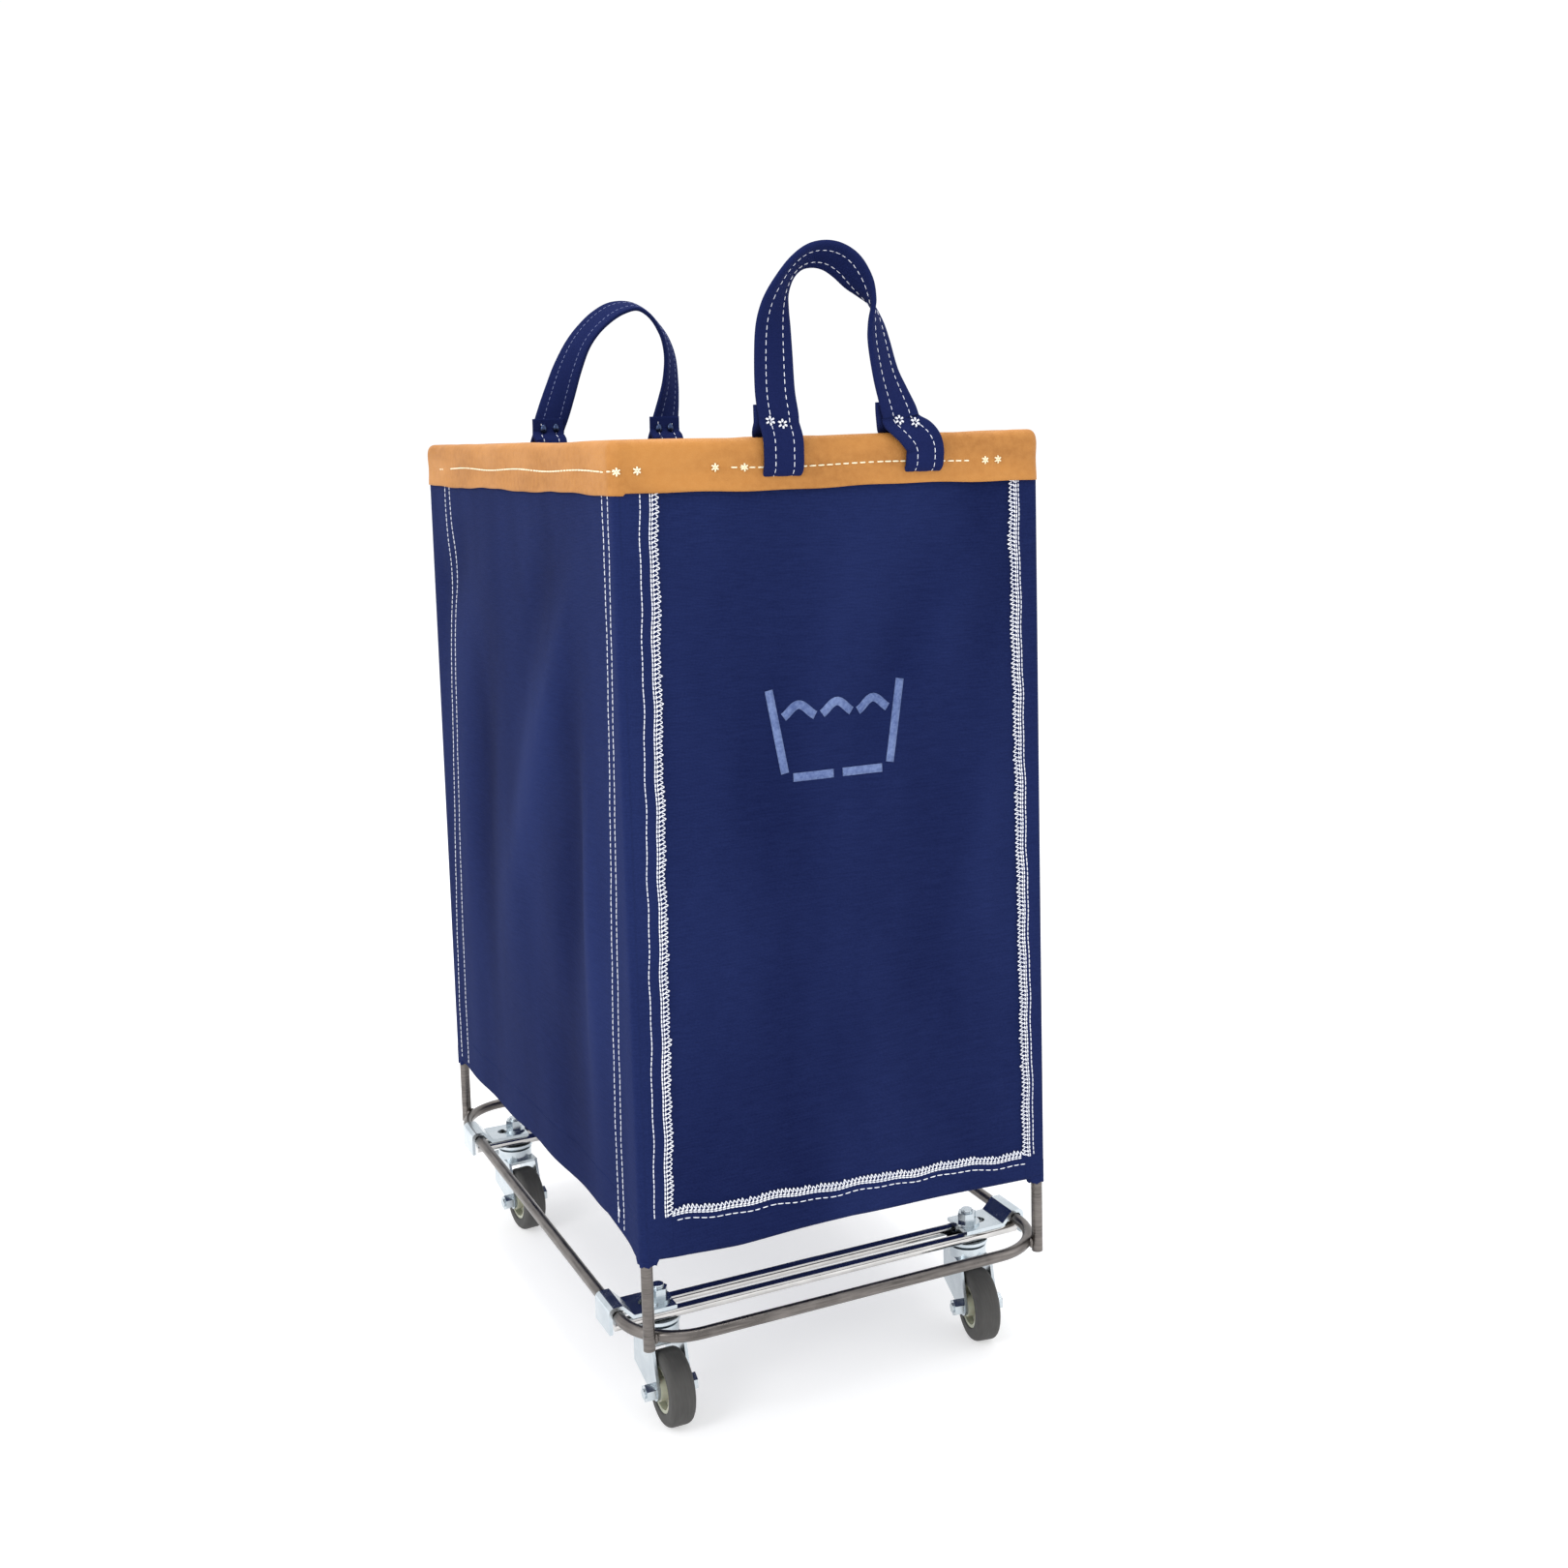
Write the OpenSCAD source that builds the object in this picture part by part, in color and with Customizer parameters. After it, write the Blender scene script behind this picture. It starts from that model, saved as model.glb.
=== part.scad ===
// Tall canvas laundry cart: a welded round-rod frame on four swivel casters, a canvas bag
// that hangs from the frame's rim, a rim binding and two strap handles.
// The origin is on the floor, below the middle of the frame. The front is -Y, the left is -X.

/* [Frame] */
// Diameter of the steel rod that the frame is welded from
rod_d = 9.5; // [8:0.5:12]
// Width of the base loop between rod centres, along X
loop_w = 372; // [320:1:460]
// Depth of the base loop between rod centres, along Y
loop_d = 551; // [440:1:640]
// Bend radius of the base loop's corners, at the rod's centre
loop_r = 50; // [40:1:60]
// Height of the base loop's rod centre above the floor
loop_z = 95; // [95:1:110]
// How far the uprights reach below the base loop's rod centre
upright_drop = 7.5; // [5:0.5:9]
// Bend radius of the rim rod's corners, at the rod's centre
rim_r = 12; // [8:1:16]

/* [Bag] */
// Height of the top of the rim binding
rim_z = 789; // [600:1:900]
// Height of the underside of the bag
bag_z = 158; // [140:1:220]
// Thickness of the canvas
canvas_t = 1.2; // [0.8:0.1:2]
// Height of the rim binding
binding_h = 41; // [30:1:50]
// Thickness of the rim binding
binding_t = 1.6; // [1:0.1:2.5]

/* [Handles] */
// Width of the handle strap
strap_w = 33; // [25:1:40]
// Thickness of the handle strap, two folded plies
strap_t = 4.5; // [3:0.5:6]
// Depth of the strap ends that hang over the rim
strap_end_h = 32; // [20:1:40]
// Height of the handle's crown above the rim, at the middle of the strap
crown_h = 134; // [100:1:160]
// Narrowing of the strap at the crown, where it turns on edge
crown_narrowing = 0.35; // [0:0.05:0.5]
// Left foot of the front handle, along X
front_foot_l = -48; // [-70:1:-30]
// Right foot of the front handle, along X
front_foot_r = 70; // [40:1:90]
// Crown of the front handle, along X
front_crown_x = -3; // [-20:1:20]
// Lean of the front handle's left leg, along X
front_lean_l = -4; // [-30:1:30]
// Lean of the front handle's right leg, along X
front_lean_r = -38; // [-40:1:30]
// Left foot of the rear handle, along X
rear_foot_l = -59; // [-70:1:-30]
// Right foot of the rear handle, along X
rear_foot_r = 70; // [40:1:90]
// Crown of the rear handle, along X
rear_crown_x = 27; // [0:1:40]
// Lean of the rear handle's left leg, along X
rear_lean_l = 24; // [-30:1:30]
// Lean of the rear handle's right leg, along X
rear_lean_r = 20; // [-40:1:30]

/* [Casters] */
// Diameter of the wheels
wheel_d = 60; // [50:1:64]
// Width of the tyre
tyre_w = 21; // [18:1:24]
// Distance of the axle behind the swivel's axis
trail = 25; // [20:1:28]
// Distance of a swivel's axis from the side rod of the base loop, along X
swivel_in_x = 40; // [34:1:60]
// Distance of a swivel's axis from the end rod of the base loop, along Y
swivel_in_y = 72; // [66:1:100]
// Spacing of the two cross rods that a caster hangs from
cross_pitch = 22; // [20:1:26]
// Resting turn of the front left caster, in degrees
yaw_front_left = 0; // [-30:1:30]
// Resting turn of the front right caster, in degrees
yaw_front_right = -10; // [-30:1:30]
// Resting turn of the rear left caster, in degrees
yaw_rear_left = 5; // [-30:1:30]
// Resting turn of the rear right caster, in degrees
yaw_rear_right = -4; // [-30:1:30]

/* [Hidden] */
CORNERS = ["front_left", "front_right", "rear_left", "rear_right"];
CASTER_PARTS = ["clamp_plate", "stem", "stem_nut", "fork", "axle", "hub", "tyre"];
$fn = 48;

canvas = [0.13, 0.16, 0.36];
leather = [0.80, 0.56, 0.32];
steel = [0.42, 0.40, 0.38];
zinc = [0.75, 0.80, 0.83];
rubber = [0.30, 0.30, 0.29];
nylon = [0.72, 0.72, 0.64];

// Signs of the four corners, in the order of CORNERS, and the casters' resting turns
SIDE_X = [-1, 1, -1, 1];
SIDE_Y = [-1, -1, 1, 1];
YAW = [yaw_front_left, yaw_front_right, yaw_rear_left, yaw_rear_right];

// Frame: each upright is welded to the outside of a bent corner of the base loop
rod_r = rod_d / 2;
weld_depth = 0.3;
corner_reach = round(100 * ((loop_r + rod_d - weld_depth) / sqrt(2) - loop_r)) / 100;
upright_x = loop_w / 2 + corner_reach;
upright_y = loop_d / 2 + corner_reach;
upright_bottom = loop_z - upright_drop;

// Rim, measured from the uprights' centre line: rod, canvas, then binding
gap = 0.05;
canvas_in = rod_r + gap;
canvas_out = canvas_in + canvas_t;
binding_out = canvas_out + binding_t;
binding_in = rod_r + 2 * gap;
rim_rod_z = rim_z - binding_t - 2 * gap - rod_r;
binding_bottom = rim_z - binding_h;
pocket_top = binding_bottom - 0.5;
seam_inset = 4;
corner_cut = 13;

// Handles: the strap hinges just above the rim, on the line where its ends are sewn
hinge_z = rim_z + 13.5;
hinge_y = upright_y + 3;
hinge_gap = 0.35;
crown_z = rim_z + crown_h;
handle_steps = 40;

// Casters
stem_x = loop_w / 2 - swivel_in_x;
stem_y = loop_d / 2 - swivel_in_y;
cross_z = loop_z - rod_d;
cross_l = loop_w + 4;
cross_top = cross_z + rod_r;
cross_bottom = cross_z - rod_r;
stem_d = 9.5;
stem_h = 17;
pin_d = 8;
running_gap = 0.05;
plate_t = 3;
plate_w = 34;
plate_tail = 10;
flange_h = 22;
washer_d = 22;
washer_t = 1.8;
nut_af = 14.3;
nut_h = 8.3;
collar_d = 36;
collar_t = 5.2;
cup_d = 33;
fork_t = 2.5;
fork_top = wheel_d + 6.8;
fork_half_len = 21;
leg_end_r = 8;
leg_knee_z = 35;
boss_half = 12.2;
leg_in = 12.5;
leg_out = leg_in + fork_t;
axle_d = 8;
axle_af = 12.7;
wheel_r = wheel_d / 2;
hub_r = wheel_r * 0.62;
boss_r = 9;

// Hexagon of a given width across its flats
module hex_prism(af, h) {
    cylinder(d = af / cos(30), h = h, $fn = 6);
}

// Round-cornered loop of rod, centred on Z, with its rod centre at height z
module rod_loop(w, d, r, z) {
    for (s = [-1, 1]) {
        translate([s * w / 2, 0, z]) rotate([90, 0, 0])
            cylinder(d = rod_d, h = d - 2 * r, center = true);
        translate([0, s * d / 2, z]) rotate([0, 90, 0])
            cylinder(d = rod_d, h = w - 2 * r, center = true);
    }
    for (q = [0:3])
        translate([(q == 0 || q == 3 ? 1 : -1) * (w / 2 - r), (q < 2 ? 1 : -1) * (d / 2 - r), z])
            rotate(90 * q) rotate_extrude(angle = 90, $fn = 96)
                translate([r, 0]) circle(d = rod_d);
}

// Round-cornered rectangle that stands a distance out from the uprights' centre line
module rim_outline(out, r) {
    x = upright_x + out - r;
    y = upright_y + out - r;
    polygon([for (q = [0:3]) for (a = [0:15:90])
        [(q == 0 || q == 3 ? x : -x) + r * cos(90 * q + a),
         (q < 2 ? y : -y) + r * sin(90 * q + a)]]);
}

module base_loop() {
    color(steel) rod_loop(loop_w, loop_d, loop_r, loop_z);
}

module rim_rod() {
    color(steel) rod_loop(2 * upright_x, 2 * upright_y, rim_r, rim_rod_z);
}

// Upright: from just below the base loop up to the underside of the rim rod
module upright(i) {
    top = rim_rod_z - rod_r + gap;
    color(steel)
        translate([SIDE_X[i] * upright_x, SIDE_Y[i] * upright_y, upright_bottom])
            cylinder(d = rod_d, h = top - upright_bottom);
}

// Cross rod: lies under the side rods of the base loop, at a place along Y
module cross_rod(y) {
    color(steel)
        translate([0, y, cross_z]) rotate([0, 90, 0])
            cylinder(d = rod_d, h = cross_l, center = true);
}

// Canvas sleeve round an upright, sewn into the bag's corner
module rod_pocket(i) {
    color(canvas)
        translate([SIDE_X[i] * upright_x, SIDE_Y[i] * upright_y, bag_z])
            difference() {
                cylinder(r = canvas_out, h = pocket_top - bag_z);
                translate([0, 0, -1]) cylinder(r = canvas_in, h = pocket_top - bag_z + 2);
            }
}

// Canvas wall between two corner sleeves: s is -1 or 1, for the front or rear
module end_panel(s) {
    panel_w = 2 * (upright_x - seam_inset);
    color(canvas)
        translate([-panel_w / 2, s > 0 ? upright_y + canvas_in : -upright_y - canvas_out, bag_z])
            cube([panel_w, canvas_t, rim_rod_z - bag_z]);
}

// Canvas wall between two corner sleeves: s is -1 or 1, for the left or right
module side_panel(s) {
    panel_d = 2 * (upright_y - seam_inset);
    color(canvas)
        translate([s > 0 ? upright_x + canvas_in : -upright_x - canvas_out, -panel_d / 2, bag_z])
            cube([canvas_t, panel_d, rim_rod_z - bag_z]);
}

// Canvas floor of the bag, cut away round the uprights
module panel_bottom() {
    color(canvas)
        translate([0, 0, bag_z])
            linear_extrude(canvas_t)
                difference() {
                    rim_outline(canvas_in - gap, rod_r);
                    for (i = [0:3])
                        translate([SIDE_X[i] * upright_x, SIDE_Y[i] * upright_y])
                            square(2 * corner_cut, center = true);
                }
}

// Binding: an upside-down channel that closes over the rim rod and the canvas
module rim_binding() {
    inner_bend = max(0.5, rim_r - binding_in - binding_t);
    color(leather)
        difference() {
            translate([0, 0, binding_bottom])
                linear_extrude(binding_h)
                    difference() {
                        rim_outline(binding_out, binding_out);
                        rim_outline(-binding_in - binding_t, inner_bend);
                    }
            translate([0, 0, binding_bottom - 1])
                linear_extrude(rim_z - binding_t - binding_bottom + 1)
                    difference() {
                        rim_outline(canvas_out + gap, canvas_out + gap);
                        rim_outline(-binding_in, inner_bend + binding_t);
                    }
        }
}

// Point at t = 0..1 on a cubic curve
function cubic(a, b, c, d, t) =
    a * pow(1 - t, 3) + 3 * b * t * pow(1 - t, 2) + 3 * c * t * t * (1 - t) + d * pow(t, 3);

// Half of a handle's middle line in its X-Z plane, from a foot (t = 0) to the crown (t = 1)
function handle_leg(foot, lean, crown, t) =
    let (rise = (crown_z - hinge_z) * 0.62, reach = (foot + lean - crown) * 0.8)
    cubic([foot, hinge_z], [foot + lean, hinge_z + rise], [crown + reach, crown_z],
          [crown, crown_z], t);

// Middle line of a handle: up from the left foot, over the crown and down to the right foot
function handle_point(feet, leans, crown, t) =
    t < 0.5 ? handle_leg(feet[0], leans[0], crown, 2 * t)
            : handle_leg(feet[1], leans[1], crown, 2 - 2 * t);

// Point on the strap's edge: side is -1 for the inner edge and 1 for the outer edge
function strap_edge(feet, leans, crown, t, side) =
    let (step = 0.005, a = handle_point(feet, leans, crown, max(0, t - step)),
         b = handle_point(feet, leans, crown, min(1, t + step)), u = (b - a) / norm(b - a),
         half = strap_w / 2 * (1 - crown_narrowing * pow(sin(180 * t), 2)))
    handle_point(feet, leans, crown, t) + side * half * [-u[1], u[0]];

// Handle strap: stands on the hinge line, with a round lower edge that turns on it
module handle(feet, leans, crown, y) {
    steps = [for (k = [0:handle_steps]) k / handle_steps];
    outer = [for (t = steps) strap_edge(feet, leans, crown, t, 1)];
    inner = [for (t = steps) strap_edge(feet, leans, crown, 1 - t, -1)];
    color(canvas) {
        intersection() {
            translate([0, y + strap_t / 2, 0]) rotate([90, 0, 0])
                linear_extrude(strap_t) polygon(concat(outer, inner));
            translate([-loop_w / 2, -loop_d, hinge_z]) cube([loop_w, 2 * loop_d, 2 * crown_h]);
        }
        for (x = feet)
            translate([x, y, hinge_z]) rotate([0, 90, 0])
                cylinder(d = strap_t, h = strap_w, center = true);
    }
}

// Strap end: folds over the binding and hangs down on both sides of it
module strap_end(x, s) {
    top = hinge_z - strap_t / 2 - hinge_gap;
    outer = binding_out + 0.15;
    inner = -binding_in - binding_t - 0.15;
    foot = rim_z - strap_end_h;
    neck = hinge_y - upright_y;
    color(canvas)
        translate([x - strap_w / 2, 0, 0]) rotate([90, 0, 90])
            linear_extrude(strap_w)
                polygon([for (p = [[outer + strap_t, foot], [outer + strap_t, rim_z + 2],
                                   [neck + strap_t / 2, top], [neck - strap_t / 2, top],
                                   [inner - strap_t, rim_z + 2], [inner - strap_t, foot],
                                   [inner, foot], [inner, rim_z + 0.15],
                                   [outer, rim_z + 0.15], [outer, foot]])
                             [s * (upright_y + p[0]), p[1]]]);
}

// Places a caster piece at corner i, at the caster's resting turn
module at_swivel(i) {
    translate([SIDE_X[i] * stem_x, SIDE_Y[i] * stem_y, 0])
        rotate(YAW[i]) children();
}

// Clamp plate: hooks over the side rod and lies on the two cross rods, with a slot for the stem
module clamp_plate(i) {
    over = rod_r + 0.25;
    flat = cross_top + 0.1 - loop_z;
    hook_r = 5;
    color(zinc)
        translate([SIDE_X[i] * loop_w / 2, SIDE_Y[i] * stem_y, loop_z])
            mirror([SIDE_X[i] > 0 ? 1 : 0, 0, 0])
                difference() {
                    rotate([90, 0, 0])
                        linear_extrude(plate_w, center = true)
                            polygon(concat(
                                [[-over, -flange_h + over + plate_t],
                                 [-over - plate_t, -flange_h + over + plate_t]],
                                [for (a = [180:-15:90])
                                    [-over - plate_t + hook_r + hook_r * cos(a),
                                     over + plate_t - hook_r + hook_r * sin(a)]],
                                [[4, over + plate_t], [13.5, flat + plate_t],
                                 [swivel_in_x + plate_tail, flat + plate_t],
                                 [swivel_in_x + plate_tail, flat], [12.2, flat], [3.2, over],
                                 [-over + 2, over], [-over, over - 2]]));
                    translate([swivel_in_x, 0, flat - 1]) {
                        cylinder(d = stem_d + 1, h = plate_t + 2);
                        translate([-12, 0, 0]) cylinder(d = stem_d + 1, h = plate_t + 2);
                        translate([-12, -(stem_d + 1) / 2, 0])
                            cube([12, stem_d + 1, plate_t + 2]);
                    }
                }
}

// Stem: threaded rod above a collar that bears on the cross rods, and a swivel pin below it
module stem(i) {
    color(zinc) at_swivel(i) {
        translate([0, 0, cross_bottom - collar_t])
            cylinder(d1 = collar_d - 6, d2 = collar_d, h = collar_t / 2);
        translate([0, 0, cross_bottom - collar_t / 2])
            cylinder(d = collar_d, h = collar_t / 2 - gap);
        translate([0, 0, cross_bottom - 1])
            cylinder(d = stem_d, h = cross_top - cross_bottom + stem_h);
        translate([0, 0, fork_top - fork_t - 3])
            cylinder(d = pin_d, h = cross_bottom - fork_top + fork_t + 1);
        translate([0, 0, fork_top - fork_t - 2.6])
            cylinder(d = pin_d + 6, h = 2.2);
    }
}

// Nut and washer that draw the stem up against the clamp plate
module stem_nut(i) {
    seat = cross_top + 0.1 + plate_t + gap;
    color(zinc) at_swivel(i)
        difference() {
            union() {
                translate([0, 0, seat]) cylinder(d = washer_d, h = washer_t);
                translate([0, 0, seat + washer_t]) hex_prism(nut_af, nut_h);
            }
            translate([0, 0, seat - 1]) cylinder(d = stem_d + 0.1, h = washer_t + nut_h + 2);
        }
}

// Outline of a fork leg in the Y-Z plane: wide under the crown, round about the axle
module leg_outline() {
    polygon(concat(
        [[-fork_half_len, fork_top], [fork_half_len, fork_top], [fork_half_len, leg_knee_z]],
        [for (a = [-62:-14:-188])
            [-trail + leg_end_r * cos(a), wheel_r + leg_end_r * sin(a)]]));
}

// Fork: pressed steel crown with a bearing cup on top and a leg on each side of the wheel
module fork(i) {
    color(zinc) at_swivel(i)
        difference() {
            union() {
                for (x = [-leg_out, leg_in])
                    translate([x, 0, 0]) rotate([90, 0, 90])
                        linear_extrude(fork_t) leg_outline();
                translate([-leg_in - 0.5, -fork_half_len, fork_top - fork_t])
                    cube([2 * leg_in + 1, 2 * fork_half_len, fork_t]);
                translate([0, 0, fork_top - 0.5])
                    cylinder(d = cup_d, h = cross_bottom - collar_t - 0.35 - fork_top + 0.5);
            }
            translate([0, 0, fork_top - fork_t - 1])
                cylinder(d = pin_d + 2 * running_gap, h = 30);
            translate([0, -trail, wheel_r]) rotate([0, 90, 0])
                cylinder(d = axle_d + 2 * running_gap, h = 4 * leg_out, center = true);
        }
}

// Axle: hexagon bolt from the right, with a lock nut on the left
module axle(i) {
    head_h = 5.3;
    lock_nut_h = 8.5;
    tail = 1.5;
    color(zinc) at_swivel(i)
        translate([0, -trail, wheel_r]) rotate([0, 90, 0]) {
            translate([0, 0, -leg_out - lock_nut_h - tail])
                cylinder(d = axle_d, h = 2 * leg_out + lock_nut_h + tail + 1);
            translate([0, 0, leg_out + gap]) hex_prism(axle_af, head_h);
            translate([0, 0, -leg_out - lock_nut_h - gap]) hex_prism(axle_af, lock_nut_h);
        }
}

// Turns a profile drawn as radius and place along the axle into a wheel piece
module on_axle(i) {
    at_swivel(i)
        translate([0, -trail, wheel_r]) rotate([0, 90, 0])
            rotate_extrude($fn = 96) children();
}

// Wheel hub: running boss, thin web and outer ring
module hub(i) {
    rim_half = tyre_w / 2 - 1.2;
    web_half = 3.5;
    ring_t = 2.6;
    bore_r = axle_d / 2 + running_gap;
    color(nylon) on_axle(i)
        polygon([[bore_r, -boss_half], [boss_r, -boss_half], [boss_r, -web_half],
                 [hub_r - ring_t, -web_half], [hub_r - ring_t, -rim_half], [hub_r, -rim_half],
                 [hub_r, rim_half], [hub_r - ring_t, rim_half], [hub_r - ring_t, web_half],
                 [boss_r, web_half], [boss_r, boss_half], [bore_r, boss_half]]);
}

// Tyre: rubber ring with rounded shoulders, moulded round the hub
module tyre(i) {
    shoulder = 5;
    half = tyre_w / 2;
    color(rubber) on_axle(i)
        polygon(concat(
            [[hub_r, -half + 1.2], [hub_r + 1, -half]],
            [for (a = [-90:15:0])
                [wheel_r - shoulder + shoulder * cos(a), -half + shoulder + shoulder * sin(a)]],
            [for (a = [0:15:90])
                [wheel_r - shoulder + shoulder * cos(a), half - shoulder + shoulder * sin(a)]],
            [[hub_r + 1, half], [hub_r, half - 1.2]]));
}

base_loop();
rim_rod();
cross_rod(-stem_y - cross_pitch / 2);  // cross_rod_front_outer
cross_rod(-stem_y + cross_pitch / 2);  // cross_rod_front_inner
cross_rod(stem_y - cross_pitch / 2);  // cross_rod_rear_inner
cross_rod(stem_y + cross_pitch / 2);  // cross_rod_rear_outer
end_panel(-1);  // panel_front
end_panel(1);  // panel_rear
side_panel(-1);  // panel_left
side_panel(1);  // panel_right
panel_bottom();
rim_binding();
handle([front_foot_l, front_foot_r], [front_lean_l, front_lean_r], front_crown_x, -hinge_y);  // handle_front
handle([rear_foot_l, rear_foot_r], [rear_lean_l, rear_lean_r], rear_crown_x, hinge_y);  // handle_rear
strap_end(front_foot_l, -1);  // strap_end_front_left
strap_end(front_foot_r, -1);  // strap_end_front_right
strap_end(rear_foot_l, 1);  // strap_end_rear_left
strap_end(rear_foot_r, 1);  // strap_end_rear_right
for (i = [0:3]) {
    upright(i);
    rod_pocket(i);
    clamp_plate(i);
    stem(i);
    stem_nut(i);
    fork(i);
    axle(i);
    hub(i);
    tyre(i);
}
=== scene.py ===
# Laundry cart: the canvas bag, leather rim, strap handles, sewing and finishes on the CAD frame.
# Metres, +Z up. The front is -Y and the left is -X. The rear and right faces are the front and
# left faces turned half a turn about Z.
import math
import random
import bpy
import numpy as np
from mathutils import Matrix, Vector


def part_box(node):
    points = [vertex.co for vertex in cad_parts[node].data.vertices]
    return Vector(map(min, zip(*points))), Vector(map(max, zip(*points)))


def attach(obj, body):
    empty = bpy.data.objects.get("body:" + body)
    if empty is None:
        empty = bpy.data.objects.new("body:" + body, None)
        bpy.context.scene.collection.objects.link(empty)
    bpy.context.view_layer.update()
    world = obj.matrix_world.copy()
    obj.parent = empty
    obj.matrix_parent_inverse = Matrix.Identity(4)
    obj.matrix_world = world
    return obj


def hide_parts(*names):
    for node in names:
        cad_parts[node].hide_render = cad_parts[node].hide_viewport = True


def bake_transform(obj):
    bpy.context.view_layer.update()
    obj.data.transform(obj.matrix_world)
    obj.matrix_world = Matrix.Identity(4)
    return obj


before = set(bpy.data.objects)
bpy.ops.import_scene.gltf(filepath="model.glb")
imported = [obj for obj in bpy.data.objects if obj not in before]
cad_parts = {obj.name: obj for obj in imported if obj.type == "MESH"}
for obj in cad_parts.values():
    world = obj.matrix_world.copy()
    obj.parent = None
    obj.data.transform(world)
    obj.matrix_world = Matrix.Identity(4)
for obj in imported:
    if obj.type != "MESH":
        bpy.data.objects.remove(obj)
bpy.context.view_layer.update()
CORNERS = (("front_left", -1, -1), ("front_right", 1, -1), ("rear_left", -1, 1),
           ("rear_right", 1, 1))

# Sizes taken from the frame
POST_LOW, POST_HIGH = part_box("upright_front_right")
POST_X = (POST_LOW.x + POST_HIGH.x) / 2
POST_Y = -(POST_LOW.y + POST_HIGH.y) / 2
ROD_R = (POST_HIGH.x - POST_LOW.x) / 2
WALL_OUT = -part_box("panel_left")[0].x - POST_X
BAG_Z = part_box("panel_bottom")[0].z
RIM_LOW, RIM_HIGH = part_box("rim_binding")
RIM_TOP = RIM_HIGH.z
RIM_FOOT = RIM_LOW.z
LOOP_Z = (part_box("base_loop")[0].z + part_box("base_loop")[1].z) / 2

# Cloth: thickness of the canvas, size of a strap, height of the bag's top, radius of its lower
# edge, step at its panels, and distance of a strap's rows of stitches from its middle
CANVAS_T = 0.0012
STRAP_W = 0.033
STRAP_T = 0.0045
BAG_TOP = RIM_TOP - 0.014
HEM_R = 0.0035
STEP = 0.0013
ROW_IN = 0.0078

# Camera, as fitted to the photo: place, angles in degrees, lens in millimetres and shift
CAMERA_AT = (-0.62108, -1.50310, 0.78784)
CAMERA_AZIMUTH = 25.35
CAMERA_PITCH = -6.43
CAMERA_ROLL = -1.51
LENS = 40.79
SHIFT = (-0.0081, -0.0940)


# Camera, floor and light ------------------------------------------------------------------

def make_camera():
    data = bpy.data.cameras.new("camera")
    data.lens = LENS
    data.shift_x, data.shift_y = SHIFT
    data.clip_end = 50
    camera = bpy.data.objects.new("camera", data)
    turn = Matrix.Rotation(math.radians(-CAMERA_AZIMUTH), 4, "Z")
    tilt = Matrix.Rotation(math.radians(90 + CAMERA_PITCH), 4, "X")
    roll = Matrix.Rotation(math.radians(CAMERA_ROLL), 4, "Z")
    camera.matrix_world = Matrix.Translation(CAMERA_AT) @ turn @ tilt @ roll
    bpy.context.scene.collection.objects.link(camera)
    bpy.context.scene.camera = camera


def area_light(name, at, aim, size, power):
    data = bpy.data.lights.new(name, "AREA")
    data.shape = "DISK"
    data.size = size
    data.energy = power
    light = bpy.data.objects.new(name, data)
    light.location = at
    light.rotation_euler = (Vector(aim) - Vector(at)).to_track_quat("-Z", "Y").to_euler()
    bpy.context.scene.collection.objects.link(light)


def make_studio():
    world = bpy.data.worlds.new("studio")
    world.use_nodes = True
    put(world.node_tree.nodes["Background"], {"Color": (0.97, 0.98, 1.0, 1), "Strength": 1.06})
    bpy.context.scene.world = world
    bpy.context.scene.view_settings.view_transform = "Standard"
    size = 30.0
    mesh = bpy.data.meshes.new("floor")
    mesh.from_pydata([(-size, -size, 0), (size, -size, 0), (size, size, 0), (-size, size, 0)],
                     [], [(0, 1, 2, 3)])
    floor = bpy.data.objects.new("floor", mesh)
    bpy.context.scene.collection.objects.link(floor)
    mat, _, shader = new_material("floor", (0.62, 0.62, 0.62), 0.9)
    put(shader, {"Specular IOR Level": 0.1, "Emission Color": (1, 1, 1, 1),
                 "Emission Strength": 0.5})
    mesh.materials.append(mat)
    aim = (0, 0, 0.45)
    area_light("key", (-2.9, -1.3, 2.4), aim, 1.6, 42)
    area_light("fill", (2.6, -1.8, 1.6), aim, 2.4, 12)
    area_light("top", (0.2, 0.3, 3.4), aim, 2.6, 60)


# Materials --------------------------------------------------------------------------------

def put(node, values):
    """Sets a node's inputs by their names."""
    for name, value in values.items():
        node.inputs[name].default_value = value


def new_material(name, colour, rough, metal=0.0):
    mat = bpy.data.materials.new(name)
    mat.use_nodes = True
    tree = mat.node_tree
    shader = tree.nodes["Principled BSDF"]
    put(shader, {"Base Color": (*colour, 1), "Roughness": rough, "Metallic": metal})
    return mat, tree, shader


def place_in(tree, scale=(1, 1, 1), attribute=None):
    """A vector to look patterns up by: the object's own place, or a stored cloth place."""
    mapping = tree.nodes.new("ShaderNodeMapping")
    put(mapping, {"Scale": scale})
    if attribute:
        source = tree.nodes.new("ShaderNodeAttribute")
        source.attribute_name = attribute
        place = source.outputs["Vector"]
    else:
        place = tree.nodes.new("ShaderNodeTexCoord").outputs["Object"]
    tree.links.new(place, mapping.inputs["Vector"])
    return mapping.outputs["Vector"]


def noise(tree, place, scale, detail=4.0):
    node = tree.nodes.new("ShaderNodeTexNoise")
    put(node, {"Scale": scale, "Detail": detail, "Roughness": 0.55})
    tree.links.new(place, node.inputs["Vector"])
    return node.outputs["Fac"]


def bands(tree, place, axis, scale):
    node = tree.nodes.new("ShaderNodeTexWave")
    node.bands_direction = axis
    put(node, {"Scale": scale, "Distortion": 0.4, "Detail Scale": 2.0})
    tree.links.new(place, node.inputs["Vector"])
    return node.outputs["Fac"]


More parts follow.
